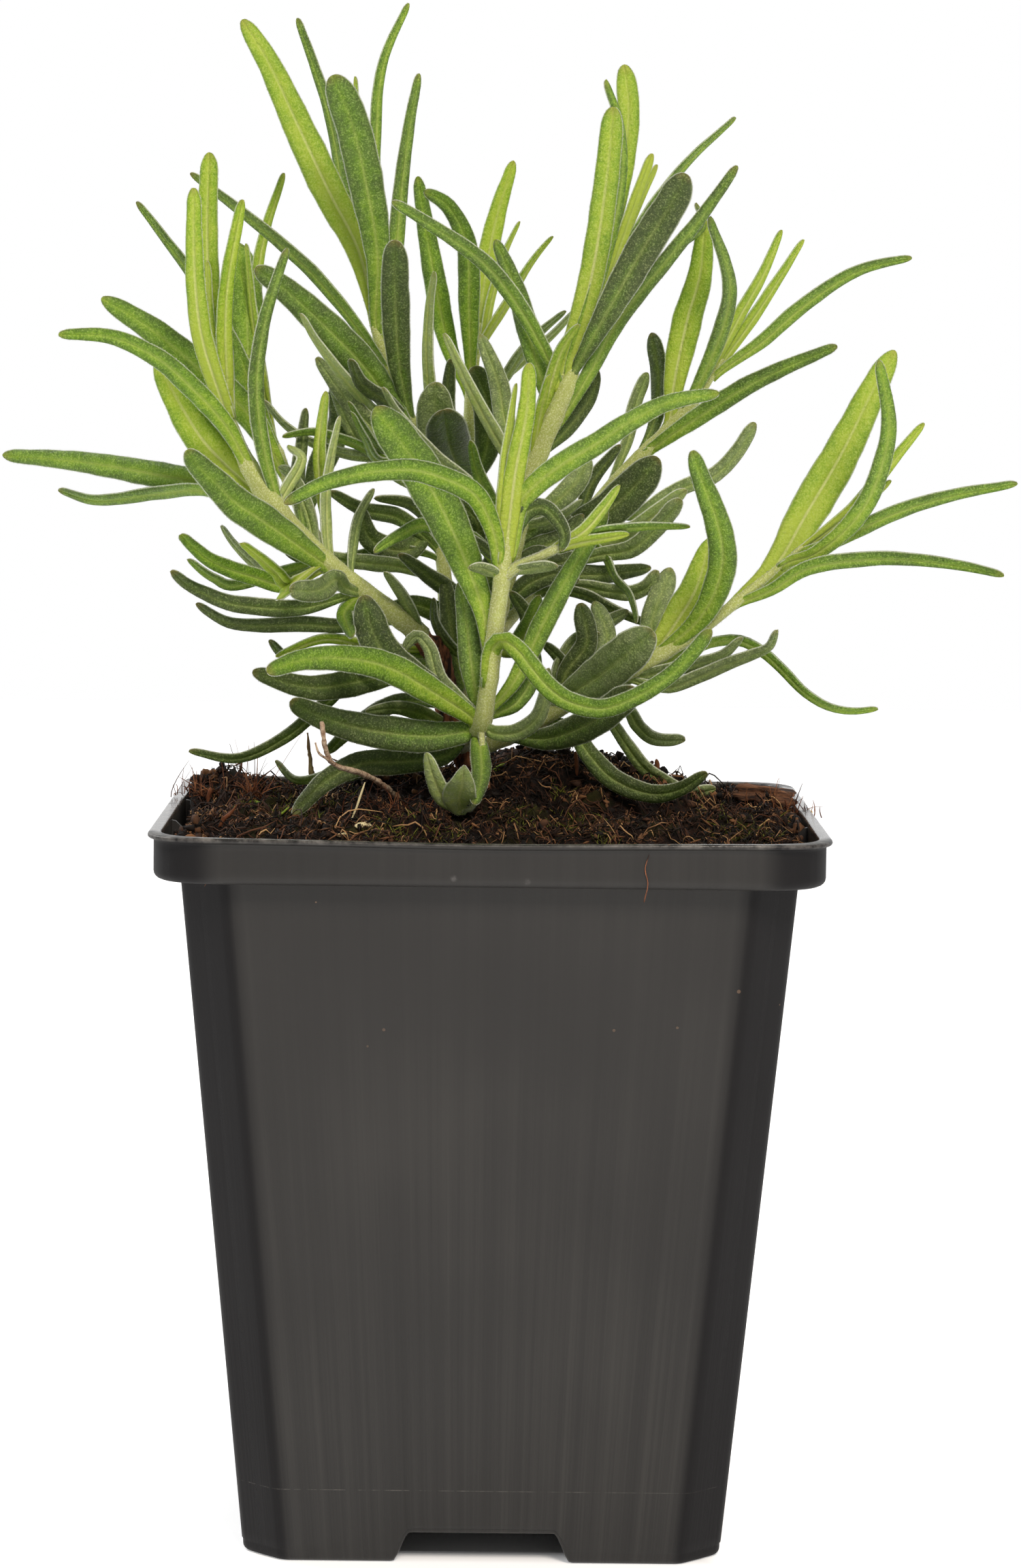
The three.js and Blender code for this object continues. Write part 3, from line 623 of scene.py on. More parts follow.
def make_pot():
    """The pot, as one shell, with five drain holes cut through its floor."""
    rings = pot_rings()[None]
    x, y = wall_outline(*wall_at(BAND_BOTTOM, 0)).T
    around = np.where(abs(x) > abs(y), y + 200, x) + np.where(y > 0, 400, 0)
    across = abs(rings[..., 0]) + abs(rings[..., 1])
    high = rings[..., 2]
    # cut and corner mask the painted shade: the flats between the walls, and the band's rounded ends.
    cut = 1 - smooth(sum(wall_at(high, 0)) - across, *CUT_EDGE)
    corner = np.where(high > BAND_BOTTOM, smooth(across, *BAND_END), cut)
    piece = make_piece("nursery_pot", rings, PLASTIC, "pot_plastic", "pot", uv=(around * MM, high * MM),
                       sharp=50, corner=corner)
    angle = np.linspace(0, 2 * np.pi, 32, endpoint=False)
    disc = np.column_stack([np.cos(angle), np.sin(angle), 0 * angle]) * DRAIN_HOLE / 2
    spots = np.array([[0, 0], [1, 1], [-1, 1], [-1, -1], [1, -1]]) * DRAIN_OFFSET
    cutter = new_object("drill", *closed_bodies(np.array([
        [disc + [x, y, z] for z in (FLOOR_UNDER - 1.4, FLOOR_TOP + 1)] for x, y in spots])))
    cut = piece.modifiers.new("drain_holes", "BOOLEAN")
    cut.operation, cut.solver, cut.object = "DIFFERENCE", "EXACT", cutter
    bpy.context.view_layer.update()
    drilled = bpy.data.meshes.new_from_object(piece.evaluated_get(bpy.context.evaluated_depsgraph_get()))
    piece.modifiers.clear()
    piece.data = drilled
    bpy.data.objects.remove(cutter)


RIB_OFFSET, RIB_THICK = 14.5, 0.9
RIB_PROFILE = np.array([(43.5, 98.1), (42.9, 98.1), (39.0, 94.4), (38.2, 92.4), (43.5, 92.4)])


def make_stacking_ribs():
    """Thin ribs inside the band that keep stacked pots apart: the profile below the lip, carried along Y
    through the rib's thickness, two at each side wall."""
    corners = np.concatenate([RIB_PROFILE, RIB_PROFILE[:1]])
    run = np.concatenate([[0], np.cumsum(np.linalg.norm(np.diff(corners, axis=0), axis=1))])
    at = np.linspace(0, run[-1], 24, endpoint=False)
    x, z = (np.interp(at, run, corners[:, k]) for k in (0, 1))
    rings = []
    for side, end in itertools.product((1, -1), repeat=2):
        y = end * RIB_OFFSET - side * np.array([-1, 1]) * RIB_THICK / 2
        rings.append(np.stack(np.broadcast_arrays(side * x, y[:, None], z), -1))
    rings = np.array(rings)
    make_piece("stacking_ribs", rings, PLASTIC, "pot_plastic", uv=(rings[..., 0] * MM, rings[..., 2] * MM),
               sharp=40, corner=0.0)


make_pot()
make_stacking_ribs()

# --- Peat ----------------------------------------------------------------------------------------

PEAT_EDGE = 97.4
PEAT_REACH = 41.5
PEAT_END = 42
LOOSE_CRUMBS = 1500
CHIPS = 5200
# Fine short fibres and long ones: how many, how long, how thick and how far their middles rise.
FIBRE_SETS = [(3600, (1.2, 4.5), (0.05, 0.12), (0, 1.2)), (200, (5, 11), (0.06, 0.14), (0, 2.0))]
# Mounds and hollows of the peat: middle x, middle y, spread in x, spread in y, height.
MOUNDS = [
    [6, 4, 24, 22, 7], [40, 20, 8, 10, 1.0], [38, -1, 8, 6, -1.6], [-39, 18, 8, 12, 2.4],
    [6, 14, 5, 5, 3.2], [17, 10, 4, 5, 2.4], [19, -11, 8, 7, -4], [-19, 33, 15, 9, -2.8],
    [33, 33, 9, 9, -2.8], [-42, -38, 8, 10, -4.5], [43, -41, 5, 7, -3], [-20, -30, 16, 10, 1.2],
    [44, -22, 4, 9, -3.2], [-44, -12, 4, 12, -3],
]


def peat_height(x, y):
    """The level at the rim, with a bell curve for each mound and, away from the wall, noise in three sizes
    on top, the finest of which only raises lumps."""
    spot = np.stack([x, y, 0 * x], -1)
    inside = 1 - smooth(np.maximum(abs(x), abs(y)), 38, 42.5)
    lumps = 1.2 * cloud(spot, 8) + 1.5 * cloud(spot + 9, 4, 2) + 1.3 * abs(cloud(spot + 50, 2.4)) - 0.3
    return PEAT_EDGE + bells(x, y, MOUNDS) + inside * lumps


def make_peat():
    """The peat as one closed body: a tapering block inside the wall, under a top worked out on rings
    that shrink from the rim to the middle."""
    edge = level(wall_outline(42.2, 31), SHELF + 0.3)
    rings = [*(wall_ring(z, WALL + 0.3) for z in (FLOOR_TOP + 0.3, 50, SHELF - 0.2)), edge]
    for k in 1 - np.linspace(0, 0.985, 125):
        ring = edge * [k, k, 1]
        ring[:, 2] = peat_height(ring[:, 0], ring[:, 1]) - 0.6 * (k == 1)
        rings.append(ring)
    make_piece("peat_bed", np.array(rings)[None], PEAT, "peat", "peat")


def on_peat(count):
    """The x and y of random spots on the peat."""
    return rng.uniform(-PEAT_REACH, PEAT_REACH, (2, count))


# Heaps of crumbs that show on the skyline, as x, z and y, how many crumbs, and how far they spread.
HEAPS = [
    ((1.5, 106.5, 12), 60, 1.5), ((5, 107, 13), 70, 1.6), ((8, 105.5, 12), 60, 1.5),
    ((12, 104.5, 10), 50, 1.4), ((17, 105.4, 10), 80, 1.1), ((20, 104.2, 9), 60, 1.2),
    ((23.5, 103.6, 8), 50, 1.2), ((29, 102, 6), 60, 1.8), ((-40, 100.6, 18), 130, 1.7),
    ((43, 98.5, -2), 60, 1.5), ((44, 97, -12), 80, 1.6), ((-42, 96.2, -26), 50, 1.2),
    ((-11, 103, 6), 50, 2.0),
]


def make_crumbs():
    """Crumbs of peat: balls of six sides and four rings, each squashed and knobbed by noise. Some lie in
    heaps, and the rest all over the peat."""
    loose = on_peat(LOOSE_CRUMBS).T
    heaped = [seen([[x, y, z]])[0, :2] + rng.normal(0, spread, (n, 2)) for (x, z, y), n, spread in HEAPS]
    x, y = np.clip(np.concatenate([loose, *heaped]), -PEAT_END, PEAT_END).T
    count = len(x)
    scattered = np.arange(count) < len(loose)
    size = rng.uniform(0.2, 0.85, count) ** 1.5 * np.where(scattered, 0.75, 1.0)
    lat = np.radians([-60, -20, 20, 60])[:, None]
    lon = np.radians(np.arange(0, 360, 60))
    ball = np.stack([np.cos(lat) * np.cos(lon), np.cos(lat) * np.sin(lon), np.sin(lat) + 0 * lon], -1)
    ball = ball[None] * rng.uniform(0.5, 1.5, (count, 1, 1, 3)) * size[:, None, None, None]
    over = np.where(scattered, 0.3 * size, rng.uniform(0, 1.4, count))
    middle = np.stack([x, y, peat_height(x, y) + over], -1)[:, None, None]
    rings = middle + ball * (1 + 0.45 * cloud(ball * 3 + middle, 1, 2))[..., None]
    make_piece("peat_crumbs", rings, CHIP, "peat", shade=rng.beta(1.5, 2.6, (count, 1, 1)))


def make_chips():
    """Splinters of peat: short flat bodies of four sides and three rings that lie every way up."""
    count = CHIPS
    x, y = on_peat(count)
    ahead, side = (unit(rng.normal(0, 1, (count, 3)) * [1, 1, 0.6]) for _ in range(2))
    side = square_to(side, ahead)
    up = np.cross(ahead, side)
    long, wide, thick = rng.uniform([[0.5], [0.08], [0.05]], [[2.4], [0.34], [0.16]], (3, count))
    middle = np.stack([x, y, peat_height(x, y) + rng.uniform(0, 0.9, count)], -1)
    swell = (np.array([0.45, 1.0, 0.4]) * rng.uniform(0.6, 1.3, (count, 3)))[:, :, None]
    run = np.array([-0.5, 0.0, 0.5])[:, None, None]
    corner = np.array([[1, 0], [0, 1], [-1, 0], [0, -1]])
    rings = (middle[:, None, None] + (ahead * long[:, None])[:, None, None] * run
             + (side * wide[:, None])[:, None, None] * (swell * corner[:, 0])[..., None]
             + (up * thick[:, None])[:, None, None] * (swell * corner[:, 1])[..., None])
    shade = rng.beta(1.5, 2.2, count) + 0.2 * cloud(middle * [1, 1, 0], 7, 2)
    make_piece("peat_chips", rings, CHIP, "peat", shade=shade[:, None, None])


def threads(count, length, thick, lift):
    """Paths and radii of loose threads on the peat. Each bows to one side and up in the middle, wriggles,
    is tilted a little, and follows the peat's height."""
    x, y = on_peat(count)[:, :, None]
    size = rng.uniform(*length, count)[:, None]
    heading, bow = rng.uniform(0, 2 * np.pi, (2, count))[:, :, None]
    s = np.linspace(0, 1, 7)
    arch = np.sin(np.pi * s)
    side = size * 0.3 * np.sin(bow) * arch
    x = np.clip(x + np.cos(heading) * size * (s - 0.5) - np.sin(heading) * side, -PEAT_END, PEAT_END)
    y = np.clip(y + np.sin(heading) * size * (s - 0.5) + np.cos(heading) * side, -PEAT_END, PEAT_END)
    wave = rng.normal(0, 0.13, x.shape)
    tilt = rng.normal(0, 0.28, (count, 1)) * size * (s - 0.5)
    z = peat_height(x, y) + rng.uniform(*lift, count)[:, None] * arch + 0.25 + wave + tilt
    radii = rng.uniform(*thick, count)[:, None] * (1 - 0.7 * abs(2 * s - 1) ** 3)
    return np.stack([x, y, z], -1), radii


def make_fibres():
    """Fibres in the peat: three-sided threads, most of them fine and short and a few long."""
    paths, radii = (np.concatenate(parts) for parts in zip(*[threads(*traits) for traits in FIBRE_SETS]))
    shade = rng.beta(1.0, 2.2, len(paths)) + 0.25 * cloud(paths[:, 3] * [1, 1, 0], 6)
    make_piece("peat_fibres", tubes(paths, radii, 3), FIBRE, "peat", shade=shade[:, None, None])


# Patches of moss, listed as the mounds are.
MOSS_PATCHES = [[-27, -6, 8, 16, 1], [7, -24, 7, 9, 1], [34, -26, 7, 9, 1], [-8, -34, 9, 5, 1]]
MOSS_TRIES = 15000


def make_moss():
    """Moss: short tapered threads that stand up in patches and lean at random."""
    x, y = on_peat(MOSS_TRIES)
    keep = 1.3 * bells(x, y, MOSS_PATCHES) + cloud(np.stack([x, y, 0 * x], -1), 5) > 0.85
    x, y = x[keep], y[keep]
    count = len(x)
    s = np.linspace(0, 1, 4)
    lean = rng.normal(0, 0.9, (count, 1, 2)) * s[:, None] ** 1.5
    tall = rng.uniform(0.5, 1.7, (count, 1))
    spot = np.stack([x, y], -1)[:, None] + lean
    paths = np.concatenate([spot, (peat_height(x, y)[:, None] - 0.2 + tall * s)[..., None]], -1)
    rings = tubes(paths, rng.uniform(0.08, 0.16, (count, 1)) * (1 - 0.85 * s), 3)
    make_piece("moss", rings, MOSS, "peat", shade=rng.uniform(0.1, 0.9, (count, 1, 1)))


make_peat()
make_crumbs()
make_chips()
make_fibres()
make_moss()

# --- Shoots ----------------------------------------------------------------------------------------

# Each shoot: the one it grows from, its radii at even steps from foot to tip, and points x, z, y as
# they are seen.
SHOOTS = {
    "crown": (None, (2.2, 1.8, 1.3), [(-2.5, 103, 3), (-4.5, 109, 3), (-6.2, 115, 2.5), (-7.6, 120, 1.5),
                                      (-11, 123.6, 0)]),
    "left": ("crown", (1.4, 1.4, 1.35, 1.6, 1.05, 0.85), [
        (-9.6, 122.6, 0.6), (-14, 126, -2), (-19, 129.4, -4), (-24.5, 134, -6), (-30, 139.8, -8),
        (-34, 146, -9), (-37, 153, -9.5), (-38.3, 157.5, -10)]),
    "left_back": ("left", (1.0, 0.8), [(-22, 132, -5), (-24.5, 136, 2), (-28.3, 143.5, 9), (-31, 151, 13)]),
    "upper_left": ("crown", (1.1, 1.0, 0.9, 0.7), [
        (-6.6, 117, 2.2), (-6.4, 123, 8), (-7.5, 138, 11), (-11.5, 152, 11), (-14, 157.5, 11),
        (-16.7, 165, 11.5), (-18, 169.5, 12)]),
    "back": ("crown", (1.0, 0.8), [(-5.6, 113, 2.8), (-3.6, 119, 11), (-3.5, 138, 20), (-3.2, 157, 24),
                                   (-2, 166, 25)]),
    "centre": ("crown", (1.4, 1.4, 1.35, 1.4, 1.1), [
        (-4.6, 109.5, 3), (-1, 119, 1.5), (2.5, 134, 1), (5, 145, 0), (7, 150.5, -1), (9.7, 157, -2),
        (12.4, 164, -3)]),
    "right": ("centre", (1.0, 1.0, 0.8), [
        (-0.2, 122, 1.4), (4.5, 128, 8), (11, 137, 12), (17.5, 145, 13), (24, 151.7, 12), (28.5, 157, 11),
        (31.5, 161.5, 11)]),
    "front": ("crown", (1.4, 1.25, 1.15, 1.1, 1.05), [
        (-4, 107.5, 3), (-3.4, 108.6, -6), (-1.4, 110.2, -14), (-0.4, 116, -17), (0.6, 125, -18),
        (1.5, 132.5, -19), (2.2, 140, -20), (2.5, 144, -20.5)]),
    "far_right": ("crown", (1.2, 1.1, 1.05, 1.05, 0.7, 0.6), [
        (-3.6, 106.2, 3), (5, 110, 0), (12, 114.3, -5), (20, 118.5, -9), (27.5, 123, -11),
        (35, 128.8, -13), (43, 135.8, -14)]),
    "front_twig": ("front", (0.8, 0.6), [(1.6, 131, -18.9), (3.4, 132.4, -19.8), (6, 133.6, -20.5),
                                         (9.6, 135.4, -21)]),
    "drooping_twig": ("front", (0.45, 0.4), [(-1.4, 110, -14.5), (-1.1, 106.5, -16), (-1.3, 102, -19),
                                             (-2.6, 98.8, -23), (-4.2, 98.2, -26)]),
}
# How brown each shoot is at its foot, from 0 to 1.
WOODY = {"left": 0.05, "centre": 0.3, "upper_left": 0.4, "back": 0.4}
STEM_SIDES = 16
STEM_ROWS = 70


def read_points(points):
    """Points listed as x, z, y, as an array of x, y, z."""
    return np.array(points, float)[:, [0, 2, 1]]


def make_shoot(name, joints):
    """A stem along its points: a ring of four soft ridges, which swells at the shares where leaves
    leave it and is bent and knobbed a little by noise. Gives the hairs on it."""
    parent, thick, points = SHOOTS[name]
    at = np.linspace(0, 1, STEM_ROWS)
    places, _ = spline(seen(read_points(points)), at)
    angle = np.arange(STEM_SIDES) * 2 * np.pi / STEM_SIDES
    swell = np.exp(-((at[:, None] - np.array(joints)) / 0.018) ** 2).max(axis=1)
    radius = np.interp(at, np.linspace(0, 1, len(thick)), thick) * (1 + 0.1 * swell)
    woody = WOODY.get(name, 0.2) * (1 - smooth(at, 0.0, 0.22))[:, None]
    if not parent:
        radii = np.repeat(radius[:, None], STEM_SIDES, 1)
        rings = knobbly_tube(places, radii, STEM_SIDES, 0.3, 1.2, 0.5)
        make_piece("woody_crown", rings, WOOD, "dry_wood", "crown", woody=woody)
        return []
    radii = (radius * (1 - 0.6 * smooth(at, 0.84, 1)))[:, None] * (1 + 0.05 * np.cos(4 * angle))
    rings = knobbly_tube(places, radii, STEM_SIDES, 0.03, 1.2, 0.5)
    make_piece("shoot_" + name, rings, GREEN_BARK, "green_stem", "stem_" + name, woody=woody)
    return [down_on(rings[0], places)]


# --- Down: short white hairs -----------------------------------------------------------------------

HAIR_RADIUS = 0.035
HAIR_DEPTH = 0.04
SHOOT_HAIRS = 2500
EDGE_HAIRS_PER_MM = 22
# Shortest and longest hairs on a shoot and on a leaf's margin.
SHOOT_HAIR = (0.08, 0.22)
EDGE_HAIR = (0.05, 0.16)


def down_on(rings, middles):
    """Roots and tips of hairs that stand out from random points of a shoot's rings."""
    row = rng.integers(2, len(rings) - 2, SHOOT_HAIRS)
    col = rng.integers(0, rings.shape[1], SHOOT_HAIRS)
    root = rings[row, col]
    out = unit(root - middles[row] + rng.normal(0, 0.25, root.shape))
    return root, root + out * rng.uniform(*SHOOT_HAIR, SHOOT_HAIRS)[:, None]


def make_down(name, hairs):
    """Hairs as spikes of three sides: a small triangle just under the skin, and a point."""
    root, tip = (np.concatenate(part) for part in zip(*hairs))
    ahead = unit(tip - root)
    side = unit(np.cross(ahead, unit(rng.normal(0, 1, ahead.shape))))
    up = np.cross(ahead, side)
    turn = (np.arange(3) * 2 * np.pi / 3)[:, None]
    base = (root - HAIR_DEPTH * ahead)[:, None] + HAIR_RADIUS * (
        side[:, None] * np.cos(turn) + up[:, None] * np.sin(turn))
    places = np.concatenate([base, tip[:, None]], 1).reshape(-1, 3)
    first = 4 * np.arange(len(root))[:, None, None]
    faces = (first + [[0, 2, 1], [0, 1, 3], [1, 2, 3], [2, 0, 3]]).reshape(-1, 3)
    make_piece("down_" + name, places, DOWN, "leaf", faces=faces.tolist())


# --- Leaves ----------------------------------------------------------------------------------------

LEAF_THICK = 0.3
# Shares of the half width from midrib to margin at which a blade has points.
OUTWARD = np.array([0.045, 0.11, 0.24, 0.44, 0.66, 0.84, 0.95, 1.0])
SECTION = np.concatenate([OUTWARD[::-1], [0], -OUTWARD, -OUTWARD[-2::-1], [0], OUTWARD[:-1]])
ON_TOP = np.arange(len(SECTION)) < 2 * len(OUTWARD) + 1
BLADE_AT = np.concatenate([np.linspace(0, 0.88, 29), 0.88 + 0.12 * np.sin(np.linspace(0, np.pi / 2, 10))[1:]])

# For each tone: how old it is, with painted light and shade added, then wool, and how clearly the midrib
# shows. Light leaves are painted brighter for light shining through them from behind, and dark ones
# darker for the shade inside the plant, on top of their real ageing.
TONES = {
    "bud": (-0.04, 0.1, 0.4), "young": (0.08, 0.06, 0.6), "light": (0.13, 0.12, 0.9),
    "fresh": (0.44, 0.14, 0.25), "grown": (0.54, 0.2, 0.25), "dark": (0.84, 0.18, 0.2),
    "grey": (0.68, 0.85, 0.3), "pale": (0.1, 1.4, 0.7),
}
# For each form: where it is widest, how wide its foot is, and how much narrower its end is.
FORMS = {
    "lance": (0.5, 0.27, 0.6), "spoon": (0.66, 0.25, 0.2), "strap": (0.42, 0.5, 0.6),
    "needle": (0.3, 0.6, 0.66), "diamond": (0.45, 0.2, 0.97), "ribbon": (0.35, 0.8, 0.45),
    "sheath": (0.55, 0.65, 0.2),
}

# Leaves of each shoot: depth y of the tip, width as it is seen, tone with form, which is a lance where
# none is given, and x and z of each point from foot to tip.
LEAVES = {
    "left": [
        (-3, 2.9, "light sheath", -38.4, 157, -39.4, 168, -39.9, 178, -39.7, 188.9),
        (-19, 2.9, "light ribbon", -38, 153.5, -40.4, 163, -41.5, 171, -41.8, 184),
        (-26, 2.9, "fresh strap", -34.6, 145.5, -37.2, 151.5, -41.5, 156.2, -46.5, 160.5, -53, 163.4, -60.3,
         163.7),
        (-2, 4.9, "light", -31.8, 141.2, -37.6, 146.5, -40.4, 149.5, -43, 153.5, -45.1, 157.2, -46.8, 160.6),
        (18, 3.7, "fresh strap", -30.5, 140.4, -38, 142.9, -48, 144.8, -58, 146.3, -68, 147),
        (-27, 4.7, "grown", -21.7, 131.3, -25, 133.6, -28.3, 135.9, -32, 138.4, -35.8, 140.9, -38.6, 143.7,
         -40.9, 145.9, -42.5, 148),
        (-20, 2.2, "grown strap", -29.4, 140.5, -31.8, 148, -32.9, 157, -31.8, 166, -28.8, 175.9),
        (-12, 2.5, "dark", -19.3, 127.1, -26.3, 126.3, -31.9, 126.3, -36.6, 126.9, -40.3, 128.3, -42.7, 129.6,
         -44.6, 131.3),
        (-13, 2.2, "young ribbon", -37.6, 154.5, -37.3, 164, -37, 171, -35, 182.5),
        (-7, 1.5, "bud needle", -38.8, 157, -39.5, 165, -39.9, 174),
        (12, 1.9, "grown", -33, 140, -41, 142.4, -47, 141.8, -55, 140.8, -60.3, 142.2),
        (-20, 2.5, "fresh", -20, 128.6, -28.9, 129.3, -32.9, 130.5, -36.6, 131.6, -39.4, 132.9, -41.8, 134.8,
         -43.3, 136.3),
        (-30, 1.8, "young strap", -26, 128.4, -28.1, 129.6, -30.1, 131.2, -32.5, 133.3, -34.9, 135.2),
        (2, 1.3, "grey", -25, 129.5, -31, 130.5, -33.5, 132.5, -36, 135, -37.8, 137.6),
        (-6, 2.2, "dark", -13, 124.5, -20.9, 123.8, -26.3, 124, -32.8, 123.7, -36.6, 124.1, -39.4, 125.5,
         -41.1, 126.8),
        (-24, 3.1, "grey spoon", -18.4, 127.6, -20.3, 129.2, -21.7, 130.4, -23.3, 129.2, -25, 128.7, -28.1,
         128.9),
        (-2, 1.6, "pale strap", -24, 144.5, -26.5, 147, -28.5, 148.9),
        (0, 2.2, "grey", -24.5, 134, -26, 140, -28, 144.5, -29.9, 145.8),
        (-7, 1.4, "pale strap", -22.2, 133.5, -23.1, 140.9, -22.7, 145.6, -21.3, 153),
        (4, 1.9, "light", -22, 133, -23.5, 140, -24.3, 147, -24, 152, -23.4, 156.4),
        (7, 2.0, "dark", -25.5, 136, -27, 143, -26.5, 149, -26, 154),
        (0, 1.3, "grey", -19.3, 130.5, -19.3, 134.5, -18.5, 139, -16.5, 143),
        (-8, 1.6, "grey", -10.5, 123.5, -12.5, 128, -15, 131.5),
        (-14, 1.5, "grown", -28, 128.3, -36.2, 129.2, -38.5, 130.1, -40.4, 131.3, -42.3, 132.9),
        (-18, 2.2, "fresh", -18.6, 127.4, -20.4, 126, -20.1, 124.2, -19.3, 122.5),
        (-31, 1.2, "light", -26.5, 129.3, -28.1, 129.3, -28.7, 128.6, -29.6, 127.6),
    ],
    "left_back": [
        (8, 4.6, "fresh", -28.8, 145, -34, 153, -40.5, 158.8, -47, 164.2, -54.4, 168.8),
        (20, 4.8, "fresh spoon", -29.8, 148, -33.6, 155, -34.2, 163.3, -34.4, 169, -35.1, 173.3, -35.8,
         176.6),
        (22, 1.7, "light", -31, 150.5, -32.8, 163, -32.5, 175, -29.3, 186.2),
        (18, 2.0, "grown strap", -30.9, 150, -35.2, 160.5, -41, 170.5, -49.7, 182),
        (16, 1.2, "young", -31, 151, -33.2, 164, -34.6, 176.5),
        (12, 3.8, "dark", -26, 139.5, -24, 146, -21.5, 152, -22.5, 157),
    ],
    "upper_left": [
        (12, 4.7, "light", -17, 166, -19.1, 175.9, -23, 183.4, -27.4, 192.4, -31.7, 201.3, -35.3, 207),
        (-4, 5.0, "grown spoon", -17, 165.5, -16.4, 175, -18, 184.5, -20.2, 193.4, -22.8, 199.6),
        (24, 1.8, "fresh strap", -17.6, 168, -16.9, 178, -16.8, 190, -15.9, 201, -12.4, 209.5),
        (16, 2.3, "grown strap", -16, 163, -14, 174, -13.2, 184, -12.2, 192.5, -10.9, 200),
        (-6, 4.0, "dark spoon", -12.2, 152.5, -13.2, 160, -13.9, 169, -14, 177.2),
        (4, 1.9, "grown strap", -14.8, 159.5, -19, 165, -25.5, 172.6, -33, 179, -42.3, 186),
        (-8, 4.8, "grown", -10.4, 149, -17, 158.5, -23, 164.8, -29, 170.2, -33.2, 173.2),
        (22, 1.9, "grown strap", -18.3, 169, -20.8, 181.5, -23.2, 194, -27.8, 207.3),
        (18, 1.1, "young needle", -18, 169, -18.8, 180, -19.3, 190, -19.8, 199.5),
        (-4, 1.6, "pale strap", -12.5, 152, -17, 153.8, -19, 156, -22, 159.5, -25, 163.5, -27, 167),
        (4, 2.8, "grey", -9.5, 145, -12, 147, -17, 151.5, -21.5, 156.5, -24.7, 161),
        (4, 5.6, "grey spoon", -8, 140, -7.8, 146, -8, 151.7, -8.2, 154.4, -8.1, 157.8),
        (6, 2.4, "grey", -8.5, 142, -13, 144.5, -18, 148.5, -21, 153.5, -22.8, 158),
        (-1, 1.4, "fresh strap", -9, 143, -15.5, 147, -20, 149.3, -25, 150.6, -29.3, 150),
        (1, 1.4, "grey strap", -9.5, 144, -16, 147, -20, 147.5, -25, 149, -29, 151.5, -32, 155),
        (0, 1.2, "fresh", -10.5, 147.5, -15.5, 148, -18, 151, -20.3, 155),
        (-3, 1.1, "fresh", -10.2, 146.5, -16, 146.8, -18, 149.8, -19.8, 153.5),
        (2, 3.6, "dark", -8, 138, -12, 134.5, -17, 136, -18.5, 140.5),
        (-1, 2.4, "dark", -7.3, 134, -13, 138.9, -18, 140, -22.7, 142.5),
        (-8, 2.3, "grey", -7, 129.5, -12, 132, -17, 132.6, -22, 133.2, -26, 134.3),
        (2, 1.8, "dark", -7.5, 136, -11, 140.5, -16.5, 141.7),
        (2, 1.6, "dark", -7.2, 133, -13, 134.6, -19, 133.4, -25, 132.4, -28.7, 133.8),
        (-2, 2.2, "dark", -11.8, 152.5, -15, 155, -18.5, 157.5, -20, 160.8),
    ],
    "back": [
        (12, 3.2, "fresh", -3.2, 158, -3.7, 168, -4.2, 177, -6.8, 182, -10, 184),
        (34, 3, "young", -2.2, 164, -1.6, 172, -0.2, 180, 2.2, 188.3),
        (32, 3.3, "fresh", -3.4, 156.5, -6.5, 163, -8.7, 173, -11, 186),
        (26, 1.1, "young needle", -2.2, 164.5, -0.4, 170, 1.4, 176, 3.2, 180),
        (22, 1.2, "young needle", -2.3, 163, 1.8, 169, 5, 174.5, 7.8, 178),
        (14, 1.7, "pale strap", -4, 149, -8.2, 153, -9.4, 160, -9.3, 168, -8.6, 173),
        (12, 2.5, "dark", -3.6, 146, -6.5, 152, -6.2, 161),
        (12, 4.4, "dark spoon", -3.4, 143, -1, 149, -1, 155, -3, 160),
        (17, 1.5, "grey", -3.2, 153, 1.5, 158.5, 4.5, 163, 9.7, 167.8),
        (21, 1.1, "pale", -3, 155, 2.5, 159.5, 7.5, 164, 12.2, 169),
        (-5, 6.3, "dark spoon", -3.5, 138, -4.5, 144.5, -6.2, 149.1, -7.1, 154),
        (6, 3.4, "dark", -3.5, 129, -4, 133, -2, 138, -5.5, 142),
        (0, 2.6, "dark", -3.6, 124, -5, 128, -9, 131, -13, 134),
        (4, 3.0, "dark", -3.6, 122, -7, 125.5, -11, 127, -15, 126),
        (8, 3.6, "dark", -3.6, 126, -1, 130, 0.5, 134, -0.5, 138.5),
    ],
    "centre": [
        (-16, 2.4, "grown strap", 9.6, 157, 3.8, 167.3, -1.5, 174, -7.5, 178.3, -14.5, 182.5),
        (12, 3.1, "grown", 8, 153.5, 5, 163, 2.8, 170.5, -0.2, 177.5),
        (2, 3.3, "light spoon", 10.6, 159, 13.6, 172.9, 16.6, 184.9, 17.9, 194.9, 17.2, 201.6),
        (-13, 3.6, "light sheath", 9.8, 157.5, 13, 172, 15, 186, 15.8, 195.8),
        (-18, 4.7, "dark spoon", 11, 160, 12.8, 163, 16, 168.9, 20.7, 177.4, 23.9, 182.6, 25.9, 186.8),
        (-8, 2.5, "grown strap", 8, 152, 12.6, 158.5, 16.9, 166.5, 23.2, 174.6, 27.1, 179.5, 30.3, 183.9, 33,
         188),
        (30, 1.5, "fresh strap", 11, 160, 19, 178, 25.5, 187.5, 32.7, 194.5),
        (-14, 1.9, "fresh strap", 11.4, 160, 14.4, 172.9, 17, 184.9, 16.9, 192.9, 14.7, 199.5),
        (-6, 1.8, "bud ribbon", 11.2, 160, 15.6, 172.5, 18.4, 181, 21.3, 189.5),
        (0, 1.5, "bud ribbon", 11, 160, 15.9, 174, 22, 188),
        (6, 1.2, "grown", 12, 162, 19, 170, 25, 176.5, 28.6, 179.8, 27.4, 182.9),
        (6, 2.4, "dark", 6, 148, 10, 151.5, 13.2, 156, 14.3, 159.7),
        (-8, 1.9, "light", 6, 149, 7.5, 157, 9.3, 162.7, 11.5, 166),
        (-7, 1.3, "young", 5.8, 148, 6.4, 154, 7.5, 159),
